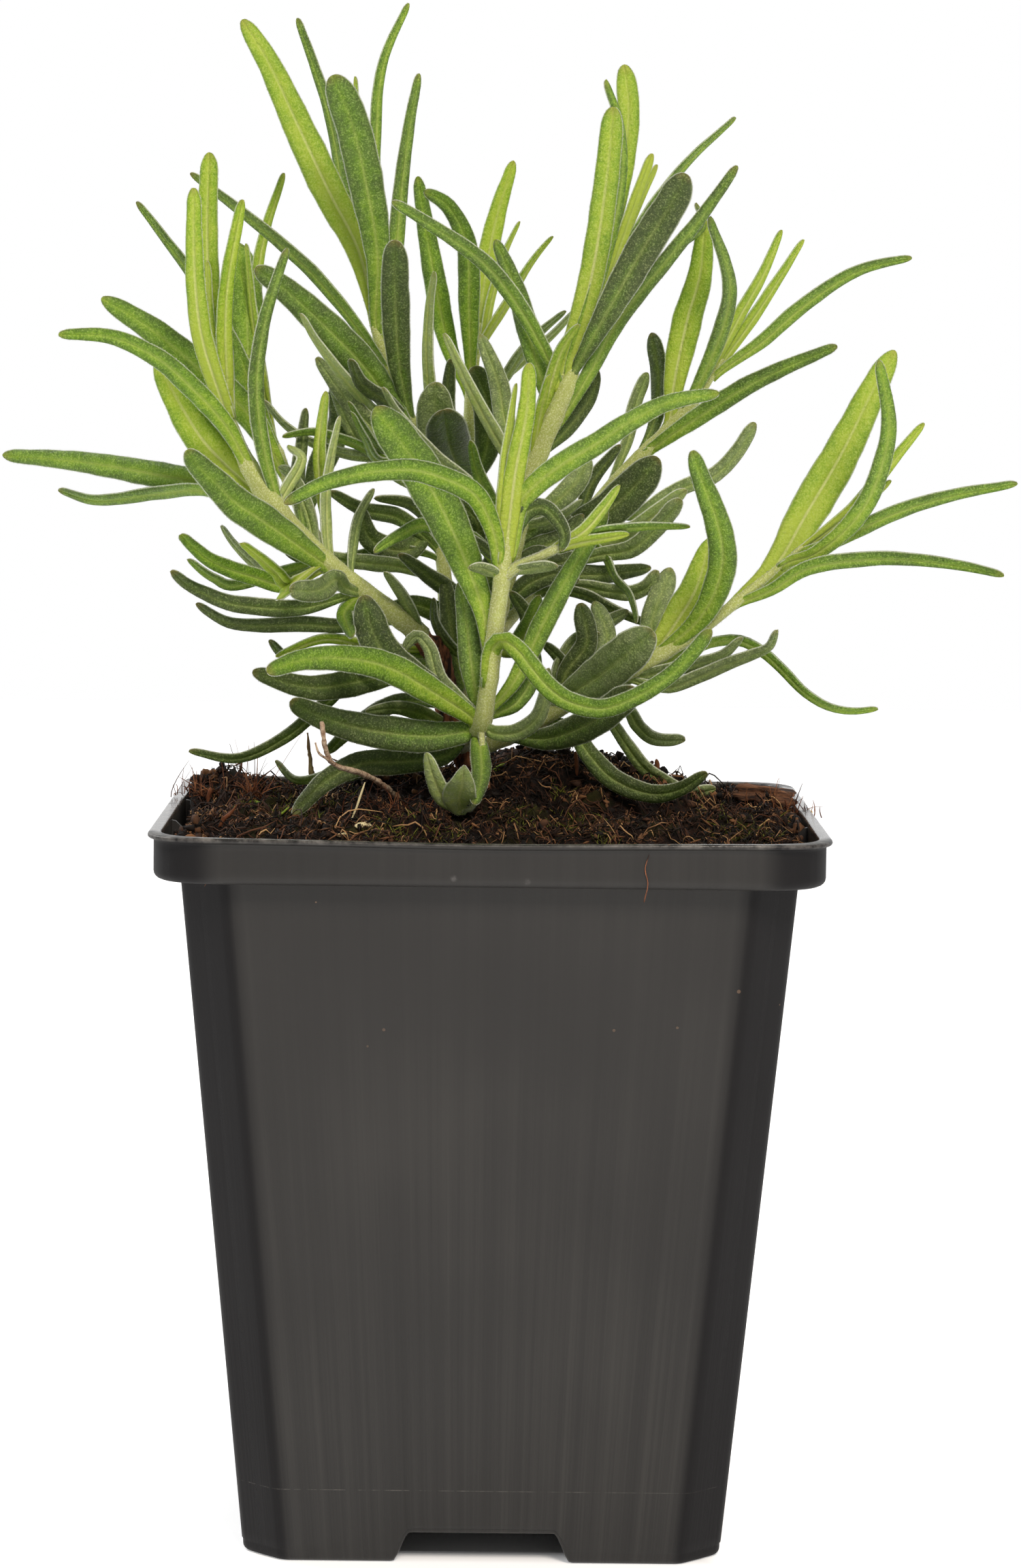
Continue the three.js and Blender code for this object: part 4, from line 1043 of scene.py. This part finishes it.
        (-6, 1.9, "pale strap", 4.8, 144, 1, 149, -3, 156, -7.2, 164.5),
        (10, 3.0, "grey", 5, 146.5, 1.8, 151.5, 0.4, 158, -2.2, 164.5),
        (-4, 1.6, "grey strap", 2.8, 136, -1.5, 142, -8, 147.5, -13.5, 153.5, -15.6, 157),
        (-7, 2.0, "fresh", 3, 136.5, -0.5, 141.5, -2.5, 146, -3.3, 149.8),
        (4, 3.2, "grey spoon", 3.8, 139, 8, 141, 11.5, 144.5, 13, 148),
        (-11, 2.2, "fresh", 1.8, 131, -2, 135.5, -9.3, 138, -13, 136.5, -16.5, 134.2),
        (-6, 1.5, "dark", 2, 132, -0.5, 134.3, -4, 137),
        (-8, 2.8, "fresh", -0.5, 121, 3, 121, 5, 124, 6.5, 128.5),
        (-4, 2.6, "dark", 0, 123, 4.5, 121, 5, 125, 2.5, 129),
        (7, 3.4, "dark strap", -2.5, 114, -4.4, 118, -5.7, 124, -6.6, 131),
        (-3, 1.3, "grey", 3.5, 138, 7, 138.6, 10, 139.8, 12.3, 141.8),
        (0, 1.4, "dark", -1, 119, -5, 120.5, -8, 124.5, -8.2, 128),
        (-2, 3.0, "dark", 1, 127, 5, 130, 9, 131.5, 12, 130.5),
        (0, 3.0, "dark", 2, 132, 6, 134, 9, 133, 12, 134.5),
        (3, 3.6, "dark spoon", 3, 136.5, 6.5, 138.5, 9.3, 138.3, 12.5, 136),
        (1, 3.2, "dark", 2.6, 134.5, 5.5, 135, 9.2, 136.2, 12.5, 139.8),
    ],
    "right": [
        (4, 4.2, "light", 24.6, 152.5, 24.8, 158.4, 26.5, 167.1, 28.1, 173.1, 28.6, 180.6),
        (-4, 2.3, "grown strap", 27.5, 155.5, 30.6, 163.5, 32.3, 171.5, 29.3, 181),
        (8, 2.1, "fresh strap", 30.5, 160, 36.5, 163.6, 43, 169.3, 50, 173.8, 57.3, 175.7),
        (-2, 2.8, "grown strap", 21, 149, 28, 153.3, 36, 158.4, 47.2, 163.5),
        (8, 1.7, "young strap", 31.2, 161, 33.5, 167, 37, 173.5, 39.3, 179.3),
        (14, 1.6, "young strap", 31.3, 161, 36.5, 168.5, 42.4, 178),
        (20, 2.5, "dark spoon", 20, 148, 22.2, 153, 22.6, 159, 21.5, 165),
        (16, 1.9, "grey spoon", 17, 144.5, 18.5, 150, 19.5, 155, 21.1, 159.5),
        (14, 2.3, "grey spoon", 14, 140, 19.7, 139.7, 23.4, 142.1, 27.1, 144, 30.3, 145.2, 33.5, 148.3, 36.1,
         152.8),
        (5, 5.4, "dark spoon", 8.5, 133, 11.8, 138.2, 15.5, 140.1, 19.6, 143.9, 22.7, 147.8),
        (-1, 2.6, "grey spoon", 7.5, 132, 14.6, 134.1, 19.3, 135.1, 23, 138.4, 25.9, 142.1),
        (2, 2.3, "pale spoon", 9.5, 135.3, 17, 136.5, 20.5, 138.5, 26.7, 143.4),
        (8, 2.0, "dark", 12, 138.5, 13.5, 144, 17.5, 149.5),
        (3, 2.1, "grey spoon", 5, 129, 11.9, 129.8, 15.6, 129.2, 19.4, 128.9, 21.7, 130, 22.8, 132.2),
        (10, 3.0, "dark", 4.5, 128, 10.5, 131, 16, 131.5, 22, 132.5),
        (2, 1.5, "dark strap", 5, 128.5, 9, 129.2, 12.8, 128.5, 16.1, 126.9, 19.9, 125.2, 22.7, 124.5, 25.4,
         125.2),
        (-2, 1.0, "grown strap", 12, 137.5, 14, 135.5, 15.6, 133.6, 16.8, 131.1, 18.7, 129, 19.6, 126.7, 20,
         124.8),
    ],
    "front": [
        (-30, 3.2, "fresh strap", 1.8, 134.5, 3.6, 141.1, 5.9, 143.9, 9.3, 146.6, 14.3, 149.7, 18.9, 152.8,
         24, 155.4, 31, 156.8),
        (-38, 3.1, "fresh strap", 1.4, 132, 0.4, 136, -1, 139.9, -2.9, 142.6, -6.8, 144.5, -11, 145.6, -16.8,
         145.3, -23, 143.8, -29, 140.8),
        (-14, 5.8, "fresh spoon", 0.2, 121.5, -1.2, 126.1, -3.6, 132.6, -6.3, 138.7, -9.9, 145.2, -13.4,
         150.1, -16.5, 154.3),
        (-14, 3.1, "fresh", -1.2, 112, 3.2, 116.5, 7.3, 125, 10.7, 131.6, 13.7, 136.6, 15.8, 140.3),
        (-36, 2.8, "fresh ribbon", -0.4, 117.5, 0.1, 120.9, 1.5, 122.1, 3.5, 120.9, 5.6, 118.3, 8, 115.6,
         10.8, 113.7, 15.6, 112.8, 19.5, 114.2, 24.4, 117.2, 28, 120.8, 30.4, 124.1),
        (-42, 4.1, "fresh strap", -1.4, 110.8, -8, 114.8, -14.5, 118.3, -20.5, 119.4, -26.5, 119.1, -31.2,
         117.4),
        (-26, 4.7, "dark strap", -2, 109.8, -8, 108.7, -14.4, 109.1, -20.4, 110.2, -25.6, 112.1, -27.8,
         113.5),
        (-20, 3.6, "dark", -3.2, 108.8, -6.3, 105.9, -11.9, 105.1, -18.4, 104.6, -23.1, 102.1, -27.4, 97.5),
        (-28, 2.9, "light ribbon", 1.8, 134.5, 2.9, 145, 4.5, 154.5, 4.7, 160.6),
        (-25, 1.5, "bud needle", 1.6, 136.5, 1.7, 147, 3, 157.8),
        (-16, 4.9, "dark spoon", -1.6, 110, -6.4, 114, -11.3, 117.1, -14.7, 119.9, -16.5, 123.1, -17.9,
         128.2),
        (-12, 2.3, "grey strap", -1.4, 111, -7.2, 116.4, -8.9, 121.2, -10.5, 122.6, -12.4, 120.4),
        (-14, 3.3, "grown", -1.2, 111, -2.7, 118, -3.6, 125, -4.6, 130.3),
        (-29.5, 2.8, "grown strap", -1.6, 109.4, -1.3, 106, -1.3, 102.8, -2.2, 99.3),
        (-24, 2.4, "grey strap", -1, 110.3, 0.6, 109.2, 3.7, 109.3, 6.4, 111.3, 7.6, 114.6, 7.9, 118.4),
        (-23, 2.4, "dark strap", 2.1, 135.2, 3.6, 138.5, 5.2, 140.4, 7, 140.6, 8.8, 139, 9.9, 136.9, 9.3,
         134.6),
        (-23, 1.6, "grey spoon", 1.7, 131.3, 5.3, 132.1, 9, 132.6),
        (-22, 1.7, "grey", 1.3, 131.2, -1.3, 132, -3.3, 132.3),
        (-8, 2.6, "grown", -1.2, 111, 3.5, 113.5, 6, 118.5, 5.2, 123.5),
    ],
    "far_right": [
        (-24, 4.4, "dark spoon", 3, 108.6, 8, 108.6, 14, 110.9, 20.2, 115.6),
        (-22, 5.8, "grey spoon", 9, 112.5, 11.2, 114.9, 14.7, 117.2, 18.2, 120, 22.3, 123.8),
        (-16, 3.0, "dark", 7, 111.5, 10.8, 110.2, 14, 106.1, 17.1, 103, 22.5, 101, 26.5, 101.7, 30.2, 104.1),
        (-28, 3.9, "fresh", 23.8, 120, 28.3, 124.9, 31, 129.6, 31.9, 134.3, 30.9, 139.4, 28.9, 144.5, 27.4,
         148.8),
        (-6, 5.4, "light", 34.2, 128.2, 38.9, 132.5, 43.5, 140.5, 48, 148.5, 53.1, 159.2, 55.2, 163),
        (-24, 2.7, "fresh strap", 41.5, 133.5, 44.5, 134.6, 48.6, 137.8, 51.8, 142, 54.2, 149, 54.6, 153.6,
         53, 161.6),
        (-14, 2.1, "fresh strap", 42.5, 134.6, 47.3, 136.3, 55.1, 140.2, 62.1, 142.6, 72.6, 144.8),
        (-24, 2.1, "fresh strap", 34.3, 127.8, 39, 129.7, 43.6, 132.6, 54.3, 134.1, 64.6, 133.3, 71, 132),
        (-14, 1.8, "young strap", 43, 135.8, 50, 141, 54.8, 147, 59.5, 153),
        (-11, 1.5, "young", 43, 135.8, 49, 139.5, 55.1, 145),
        (-8, 4.8, "light", 22.3, 120.5, 25.5, 124.9, 28.2, 129.6, 30.2, 136.8),
        (2, 1.4, "fresh strap", 20, 118.5, 24, 119.6, 28, 121, 30.6, 122.1, 34.2, 122.4, 37.3, 121.1, 40.4,
         118.4, 43.6, 115.3, 46.8, 113.4, 50.3, 112.8, 53.9, 113.2),
        (-18, 1.9, "grey", 17, 116.8, 23.6, 118, 28.9, 119.2, 32.4, 120.6, 34.8, 123),
        (-21, 1.9, "grey", 18, 117.2, 24.5, 115.8, 28.9, 117.4, 32.9, 119.2, 36, 120.4, 38.6, 121.7, 39.6,
         124.1),
        (4, 2.1, "grey spoon", 10, 113, 13.8, 113.4, 15.6, 112.3, 18.8, 107.9, 21.6, 104.4, 24.7, 102.4, 27.8,
         101.1, 31.5, 101.8),
        (8, 2.0, "grey spoon", 12, 114.3, 18.3, 113.3, 20.6, 110.2, 22.8, 108.6, 27.1, 108.5),
        (6, 3.4, "grey spoon", 14, 115.3, 20, 118, 22.1, 121.6, 22.2, 124.8, 22.9, 127.6, 23.8, 130, 24.7,
         132.6),
        (2, 1.3, "pale strap", 13, 115, 15, 119, 17.5, 121, 19.5, 119.5),
        (4, 2.8, "dark", 11, 114, 12.5, 120.5, 15, 124, 19, 126.5),
        (-6, 1.4, "grey strap", 9, 112.5, 9.5, 119, 12, 122.8, 15, 123.3),
        (-6, 2.2, "dark", 7, 111.2, 10.5, 116.5, 9.5, 119.5, 7, 122),
        (0, 2.4, "grey strap", 10, 113.3, 13, 117.5, 14.1, 121, 12.6, 124.6),
        (-8, 3.0, "dark spoon", 9, 112.8, 10.5, 118, 13.2, 122, 12.2, 127.5),
        (-5, 2.8, "grey spoon", 12, 114.3, 15, 118.6, 16, 123, 14.2, 127.8),
    ],
    "crown": [
        (-4, 1.9, "dark", -6.5, 116.5, -18, 117, -23, 113, -28, 108.6, -35, 105.2, -42, 106.2),
        (-12, 3.8, "dark", -7.5, 119, -17, 116.5, -25, 115.3, -33.2, 117.4),
        (4, 2.0, "dark", -7.8, 120, -19, 119, -28, 119, -31, 121.8),
        (-3, 1.5, "light strap", -8.5, 121.5, -16, 120.8, -23, 122, -30, 119.5),
        (10, 1.4, "grey", -4.5, 109, -20, 104, -27, 102.2, -30, 105),
        (4, 3.0, "fresh", -5, 111.5, -12, 107, -18, 104, -24.5, 101.5),
        (14, 2.6, "dark", -5.6, 113, -12, 113.5, -18, 110.5, -23, 106),
        (-4, 1.6, "young", -5.6, 112.6, -7.8, 114.5, -7.4, 116.6),
        (-4, 2.2, "grey", -5, 110, -9, 111.5, -13, 112.5, -17.5, 112),
    ],
    "front_twig": [
        (-20, 1.7, "light", 9.2, 135, 12.5, 137.4, 15.2, 140.5, 17.5, 143.9),
        (-18, 1.5, "young strap", 8.8, 135.2, 11.5, 135.7, 14.5, 136.3, 18.9, 137.1),
        (-15, 1.2, "fresh", 9, 135.2, 13.5, 137, 20, 138, 27.3, 138.2),
    ],
    "drooping_twig": [
        (-31, 2.6, "pale", -3.8, 98.3, -6.3, 99.9, -7.8, 102.7, -8.9, 106.4),
        (-33, 4.6, "pale diamond", -3.9, 98.2, -4.3, 100, -3.9, 101.9, -3.6, 104.7),
    ],
}


JOIN_DEPTH = 1.6
BROAD = 2.2
REAR_WIDTH = 0.72
REAR_DEPTH = (9, 17)


def spine_of(name, points, depth):
    """A leaf's middle line: it starts inside its shoot where that passes nearest to the reading, runs up
    its side for a little, leaves it and gets to its tip at that depth. Also gives how far up it leaves."""
    _, thick, stem = SHOOTS[name]
    shares = np.linspace(0, 1, 101)
    places, ways = spline(read_points(stem), shares)
    best = np.hypot(places[:, 0] - points[0][0], places[:, 2] - points[0][1]).argmin()
    middle, along = places[best], ways[best]
    y = np.linspace(middle[1], depth, len(points))
    line = np.array([(x, d, z) for (x, z), d in zip(points, y)])
    away = line[1] - middle
    away = unit(away - (away @ along) * along)
    line[0] = middle + away * thick[-1] * 0.9
    start = middle + away * thick[-1] * 0.45 - along * JOIN_DEPTH
    return seen(np.vstack([start, line])), shares[best]


def blade_width(t, form, tip):
    """Width along a blade as a share of its widest: a quarter of a sine wave up from the narrow foot to
    the widest place, a slow curve down towards the end, and an ellipse round the tip from `tip` on."""
    widest, foot, taper = FORMS[form]
    swell = foot + (1 - foot) * np.sin(np.pi / 2 * np.minimum(t / widest, 1)) ** 1.2
    swell *= 1 - taper * np.clip((t - widest) / (1.04 - widest), 0, 1) ** 1.5
    end = np.clip((t - tip) / (1 - tip), 0, 1)
    return swell * np.sqrt(np.maximum(0.0004, 1 - end * end))


def make_blade(name, line, width, look):
    """A leaf along its middle line, and the hairs on its margins. Its section is a shallow V whose margins
    roll down by an S curve, with a bell-shaped groove over the midrib, a rib below it and thick hems, and
    sine waves along it move its edges. One that looks narrow is a wider one turned on its edge."""
    tone, _, form = look.partition(" ")
    form = form or "lance"
    age, wool, rib = TONES[tone]
    places, along = spline(line, BLADE_AT)
    length = np.linalg.norm(np.diff(places, axis=0), axis=1).sum()
    full = max(width, 0.55 * width + 1.4)
    share = blade_width(BLADE_AT, form, 1 - 1.05 * full * (1 - 0.7 * FORMS[form][2]) / length)
    twist = rng.normal(0, 0.16) * (BLADE_AT - 0.5)[:, None]
    up = square_to(EYE - places, along)
    side = np.cross(up, along)
    turn = math.acos(width / full) * (-1 if side[len(side) // 2, 2] < 0 else 1) + twist
    up = up * np.cos(turn) + np.cross(along, up) * np.sin(turn)
    across = np.cross(up, along)
    a = SECTION[None]
    out = abs(a)
    start = rng.uniform(0, 2 * np.pi, 4)
    turns = BLADE_AT * length * 2 * np.pi
    ripple = np.sin(turns / 6.5 + start[0]) + 0.6 * np.sin(turns / 3.1 + start[1])
    half = (full / 2 * share)[:, None]
    half = half * (1 + 0.012 * ripple[:, None] * np.sign(a) + 0.014 * np.sin(turns / 5 + start[2])[:, None])
    wave = 0.03 * half * out * np.sin(turns / 8 + start[3])[:, None]
    slim = np.sqrt(share)[:, None]
    skin = half * (0.04 * np.sin(np.pi * out ** 0.8) + 0.24 * out - 0.2 * a * a) + wave
    skin = skin - 0.24 * slim * smooth(out, 0.76, 1.02)
    groove = 0.1 * slim * np.exp(-(a / 0.13) ** 2)
    keel = half * 0.1 * np.exp(-(a / 0.14) ** 2)
    hem = 0.12 * slim * np.exp(-((out - 0.9) / 0.08) ** 2)
    thick = LEAF_THICK * slim
    high = np.where(ON_TOP, skin - groove, skin - thick * (1 - 0.5 * a ** 8) - keel - hem)
    high = np.where(out == 1, skin - 0.3 * thick, high)
    rings = places[:, None] + across[:, None] * (half * a)[..., None] + up[:, None] * high[..., None]
    shift = rng.uniform(-0.05, 0.05, 2)
    # How old the leaf is also carries its tone's painted light and shade.
    make_piece(name, rings[None], LEAF_SKIN, "leaf", name.replace("blade", "leaf"),
               uv=(out, BLADE_AT[:, None]), age=age + shift[0], wool=wool + shift[1] + 0.35 * ~ON_TOP,
               rib=rib, reach=abs(half * a))
    count = int(length * EDGE_HAIRS_PER_MM)
    row = rng.integers(2, len(rings) - 1, count)
    margin = rng.choice([0, 2 * len(OUTWARD)], count)
    root = rings[row, margin] + (rings[row - 1, margin] - rings[row, margin]) * rng.uniform(0, 1, (count, 1))
    out = across[row] * np.sign(SECTION[margin])[:, None] + rng.normal(0, 0.35, (count, 3))
    return root, root + unit(out) * rng.uniform(*EDGE_HAIR, (count, 1))


def make_blades(name, first, rows):
    """The leaves of a shoot, numbered from `first`, and the hairs on each."""
    return [make_blade(f"blade_{name}_{k}", *row) for k, row in enumerate(rows, first)]


def rear_leaves(front, depths):
    """Leaves at the back of a shoot. Each is read like a broad leaf in front of it, all but its end, and
    lies at the other side of the shoot, so that from the front it is hidden."""
    twins = []
    for (line, width, look), depth in zip(front, depths):
        if width < BROAD or depth > line[1, 1]:
            continue
        near = line[:-1]
        reading = EYE + (near - EYE) / (1 - near[:, 1:2] / EYE[1])
        reading[0, 1] = near[0, 1]
        reading[1:, 1] = near[1, 1] + rng.uniform(*REAR_DEPTH) * np.linspace(0, 1, len(near) - 1) ** 0.8
        twins.append((seen(reading), REAR_WIDTH * width, look))
    return twins


def make_plant():
    """The woody crown, its shoots, and the leaves and down of each."""
    for name, leaves in LEAVES.items():
        spines = [spine_of(name, np.reshape(points, (-1, 2)), depth) for depth, _, _, *points in leaves]
        front = [(line, width, look) for (line, _), (_, width, look, *_) in zip(spines, leaves)]
        hairs = make_shoot(name, [share for _, share in spines])
        hairs += make_blades(name, 1, front)
        hairs += make_blades(name, len(front) + 1, rear_leaves(front, [depth for depth, *_ in leaves]))
        make_down(name, hairs)


make_plant()

# --- Litter ----------------------------------------------------------------------------------------

# Rods: the node each stands for, its radius at foot and tip, how rough it is, and its points x, z, y.
RODS = {
    "looped_root": ("dry_root", ROOT, 0.3, 0.45, 0.35, [
        (-23.5, 110.5, -29), (-23.2, 108, -28), (-22.6, 105.6, -26), (-21.3, 104.4, -24),
        (-18.5, 103.6, -20), (-15.5, 102.2, -14), (-12.5, 99.7, -7)]),
    "dead_twig": ("dry_stick", STICK, 0.14, 0.6, 0.4, [(-25.5, 109, 9), (-25, 104.5, 9), (-24.6, 99.6, 10)]),
    "root_fork": (None, ROOT, 0.13, 0.28, 0.3, [
        (-24.4, 107.6, -28.5), (-23.9, 106.2, -28), (-22.8, 105.4, -26.5), (-21.3, 104.4, -24)]),
    "stray_fibre": (None, WOOD, 0.05, 0.08, 0.2, [
        (22.3, 92.4, -44.5), (21.8, 90.5, -44.5), (22.2, 88.4, -44.5), (21.7, 85.8, -44.3)]),
}
BARK_CHIP = [(-4.3, -1.4), (-1, -1.9), (3.2, -1.6), (4.4, -0.3), (3.8, 1.5), (-0.5, 1.9), (-3.9, 1.2)]
# Layers of the chip, from below: how wide, as a share of its outline, and how high.
CHIP_LAYERS = [
    (0.3, 0), (0.9, 0), (1.0, 0.3), (0.98, 0.7), (0.84, 0.8), (0.86, 1.3), (0.95, 1.4), (0.93, 1.9),
    (0.75, 2.1), (0.5, 2.15), (0.3, 2.2), (0.12, 2.2)]
CHIP_PLACE = (38.6, 6, 99.6)
CHIP_TILT = math.radians(7)


def make_rods():
    """Knobbly rods along their points."""
    at = np.linspace(0, 1, 60)
    for name, (node, material, foot, tip, rough, points) in RODS.items():
        places, _ = spline(seen(read_points(points)), at)
        radii = np.repeat((foot + (tip - foot) * at)[:, None], 10, 1)
        make_piece(name, knobbly_tube(places, radii, 10, rough, 0.9), material, "dry_wood", node)


def make_bark_chip():
    """A chip of bark: its outline in shrinking rings, of which each pair is a layer that juts out by
    noise of its own, and split along its length."""
    outline = np.array(BARK_CHIP + BARK_CHIP[:1])
    at = np.linspace(0, 1, 60, endpoint=False)
    edge = spline(np.column_stack([outline, 0 * outline[:, 0]]), at)[0][:, :2]
    rings = np.array([level(edge * share, z) for share, z in CHIP_LAYERS])[None]
    rings[..., :2] *= (1 + 0.14 * cloud(rings * [1, 1, 4], 1.6))[..., None]
    rings[..., 2] += 0.4 * cloud(rings * [0.25, 1.4, 1], 0.8)
    c, s = math.cos(CHIP_TILT), math.sin(CHIP_TILT)
    rings = rings @ np.array([[c, 0, -s], [0, 1, 0], [s, 0, c]]) + CHIP_PLACE
    make_piece("bark_flake", rings, BARK, "dry_wood", "bark_chip")


make_rods()
make_bark_chip()

# Small litter as it is read: material, half width and half thickness, and points x, z. Each piece lies on
# the peat where the line of sight meets it, or stands there and rises where the fourth value is 1.
BITS = {
    "cream_flake": (FLAKE, 0.5, 0.12, 0, [(-18.7, 95.9), (-17.4, 96.3), (-16.2, 95.9)]),
    "cream_flake_right": (FLAKE, 0.55, 0.2, 0, [(43.3, 98.2), (44.1, 98.7), (45, 98.7)]),
    "pale_seed": (FLAKE, 0.3, 0.25, 0, [(-21.2, 94.6), (-20.6, 94.7), (-20, 94.8)]),
    "lime_blade": (GREEN_BIT, 0.28, 0.06, 1, [(-29.8, 97), (-29, 97.6), (-27.9, 98.6)]),
    "dark_shred": (GREEN_BIT, 0.2, 0.05, 0, [(-35.1, 100.2), (-33.2, 100.6), (-31.5, 99.8)]),
    "dark_shred_low": (GREEN_BIT, 0.2, 0.05, 0, [(-35.3, 99.2), (-33.4, 99.3), (-31.4, 98.9)]),
    "rust_chunk": (RUST, 0.5, 0.3, 1, [(-39.3, 98.6), (-39.2, 99.8), (-38.9, 101.2)]),
    "brown_twig": (RUST, 0.3, 0.25, 1, [(-37.8, 95.6), (-36.8, 97), (-36, 97.7), (-35.2, 98.8)]),
    "rootlet": (FLAKE, 0.13, 0.13, 1, [(-17.4, 102.2), (-18, 100.4), (-18.5, 98.8), (-19.3, 96.8)]),
    "rootlet_loop": (FLAKE, 0.14, 0.14, 1, [(-18.6, 103.6), (-18.3, 102.7), (-17.6, 102.5), (-17.3, 103.2)]),
    "thin_loop": (RUST, 0.15, 0.15, 1, [
        (-22.4, 105.6), (-20.9, 104.9), (-19, 104.6), (-17.1, 104.2), (-15, 103.1)]),
    "fallen_blade": (GREEN_BIT, 0.4, 0.08, 0, [(0.1, 103.9), (2.3, 104.8), (4.7, 104.2)]),
    "short_stick": (RUST, 0.3, 0.25, 1, [(12.1, 103.4), (12, 105.2), (11.8, 106.8)]),
    "stub": (RUST, 0.35, 0.3, 1, [(23.4, 103.4), (23.3, 104.6), (23.1, 105.9)]),
}
# Coir fibres that stand out of the peat: x and z of the foot, how many, how long, and how far they spread.
TUFTS = [
    (-33, 99.6, 70, 3.6, 0.6), (-40, 100, 70, 2.4, 1.8), (41, 98, 90, 2.6, 2.4), (-14, 98, 60, 2.0, 3.0)]
HIDDEN_DEPTH = 12.0


def lies_at(x, z):
    """Depth at which the line of sight through the reading (x, z) meets the peat."""
    y = np.linspace(-42, 30, 721)
    places = seen(np.column_stack([0 * y + x, y, 0 * y + z]))
    under = places[:, 2] < peat_height(places[:, 0], y)
    return y[under.argmax()] if under.any() else HIDDEN_DEPTH


def make_bits():
    """Small litter: flattened rods along their points, knobbed by noise."""
    at = np.linspace(0, 1, 16)
    end = np.sqrt(np.maximum(0.1, 1 - (2 * at - 1) ** 4))[:, None]
    angle = np.arange(8) * np.pi / 4
    for name, (material, wide, thick, stands, points) in BITS.items():
        depths = [lies_at(x, z) - 0.2 for x, z in points]
        if stands:
            depths = [depths[np.array(points)[:, 1].argmin()]] * len(points)
        places, _ = spline(seen([(x, y, z) for (x, z), y in zip(points, depths)]), at)
        radii = end * np.hypot(wide * np.cos(angle), thick * np.sin(angle))
        make_piece(name, knobbly_tube(places, radii, 8, 0.35, 0.8), material, "peat", shade=0.55)


def make_tufts():
    """Tufts of coir: thin threads that fan out of one spot and curl over."""
    s = np.linspace(0, 1, 6)[:, None]
    paths = []
    for x, z, count, long, spread in TUFTS:
        foot = seen([[x, lies_at(x, z), z]])[0]
        foot = foot + rng.normal(0, spread, (count, 3)) * [1, 0.6, 0.15]
        lean, curl = rng.normal(0, [[[[0.35]]], [[[0.6]]]], (2, count, 1, 3))
        tall = rng.uniform(0.4, 1, (count, 1, 1)) * long
        paths.append(foot[:, None] + tall * (s * [0, 0, 1] + lean * s + curl * s ** 2))
    paths = np.concatenate(paths)
    radii = rng.uniform(0.05, 0.11, (len(paths), 1)) * (1 - 0.7 * s[:, 0] ** 2)
    shade = rng.uniform(0.1, 0.9, (len(paths), 1, 1))
    make_piece("coir_tufts", tubes(paths, radii, 3), RUST, "peat", shade=shade)


make_bits()
make_tufts()

# --- Studio ----------------------------------------------------------------------------------------

TABLE_HALF = 1500


def make_table():
    """A large white table top under the pot."""
    corners = [[-TABLE_HALF, -TABLE_HALF, 0], [TABLE_HALF, -TABLE_HALF, 0],
               [TABLE_HALF, TABLE_HALF, 0], [-TABLE_HALF, TABLE_HALF, 0]]
    table = new_object("table_top", corners, [(0, 1, 2, 3)])
    table.data.materials.append(new_finish("white_board", white_board))


def make_light(name, place, aim, size, watts, colour="#ffffff"):
    """A square soft box of that size at place, facing aim."""
    light = bpy.data.lights.new(name, "AREA")
    light.shape, light.size, light.energy = "SQUARE", size * MM, watts
    light.color = srgb(colour)[:3]
    back = unit(np.array(place, float) - np.array(aim, float))
    side = unit(np.cross([0, 0, 1], back))
    stand(name, light, place, side, np.cross(back, side), back).visible_camera = False


def make_world():
    """The white cove that lights the plant: brightest behind it, dimmer overhead, dim in front and
    dimmest at the sides. The picture's own background is plain white."""
    world = bpy.data.worlds.new("white_cove")
    world.use_nodes = True
    world.node_tree.nodes.clear()
    add = functools.partial(add_node, world.node_tree)
    _, y, z = add("SeparateXYZ", [add("TexCoord", out="Generated")]).node.outputs
    behind = add("ValToRGB", [add("MapRange", [y, -1.0, 1.0])], [
        (0.0, "#c8c8c8"), (0.06, "#8c8c8c"), (0.15, "#565656"), (0.3, "#383838"), (0.55, "#424242"),
        (0.7, "#acacac"), (0.85, "#ffffff")])
    over = add("MapRange", [z, 0.3, 1.0, 0.0, 0.4])
    lit = add("Background", [(1, 1, 1, 1), add("Math", [behind, over], operation="ADD")])
    plain = add("Background", [(1, 1, 1, 1), 1.0])
    add("OutputWorld", [add("MixShader", [add("LightPath", out="Is Camera Ray"), lit, plain])])
    bpy.context.scene.world = world
    bpy.context.scene.view_settings.view_transform = "Standard"


make_table()
make_world()
make_light("front_soft_box", (250, -850, 900), (0, 0, 110), 350, 11, "#fff3e6")
make_light("left_soft_box", (-800, 500, 900), (0, 0, 150), 400, 7)
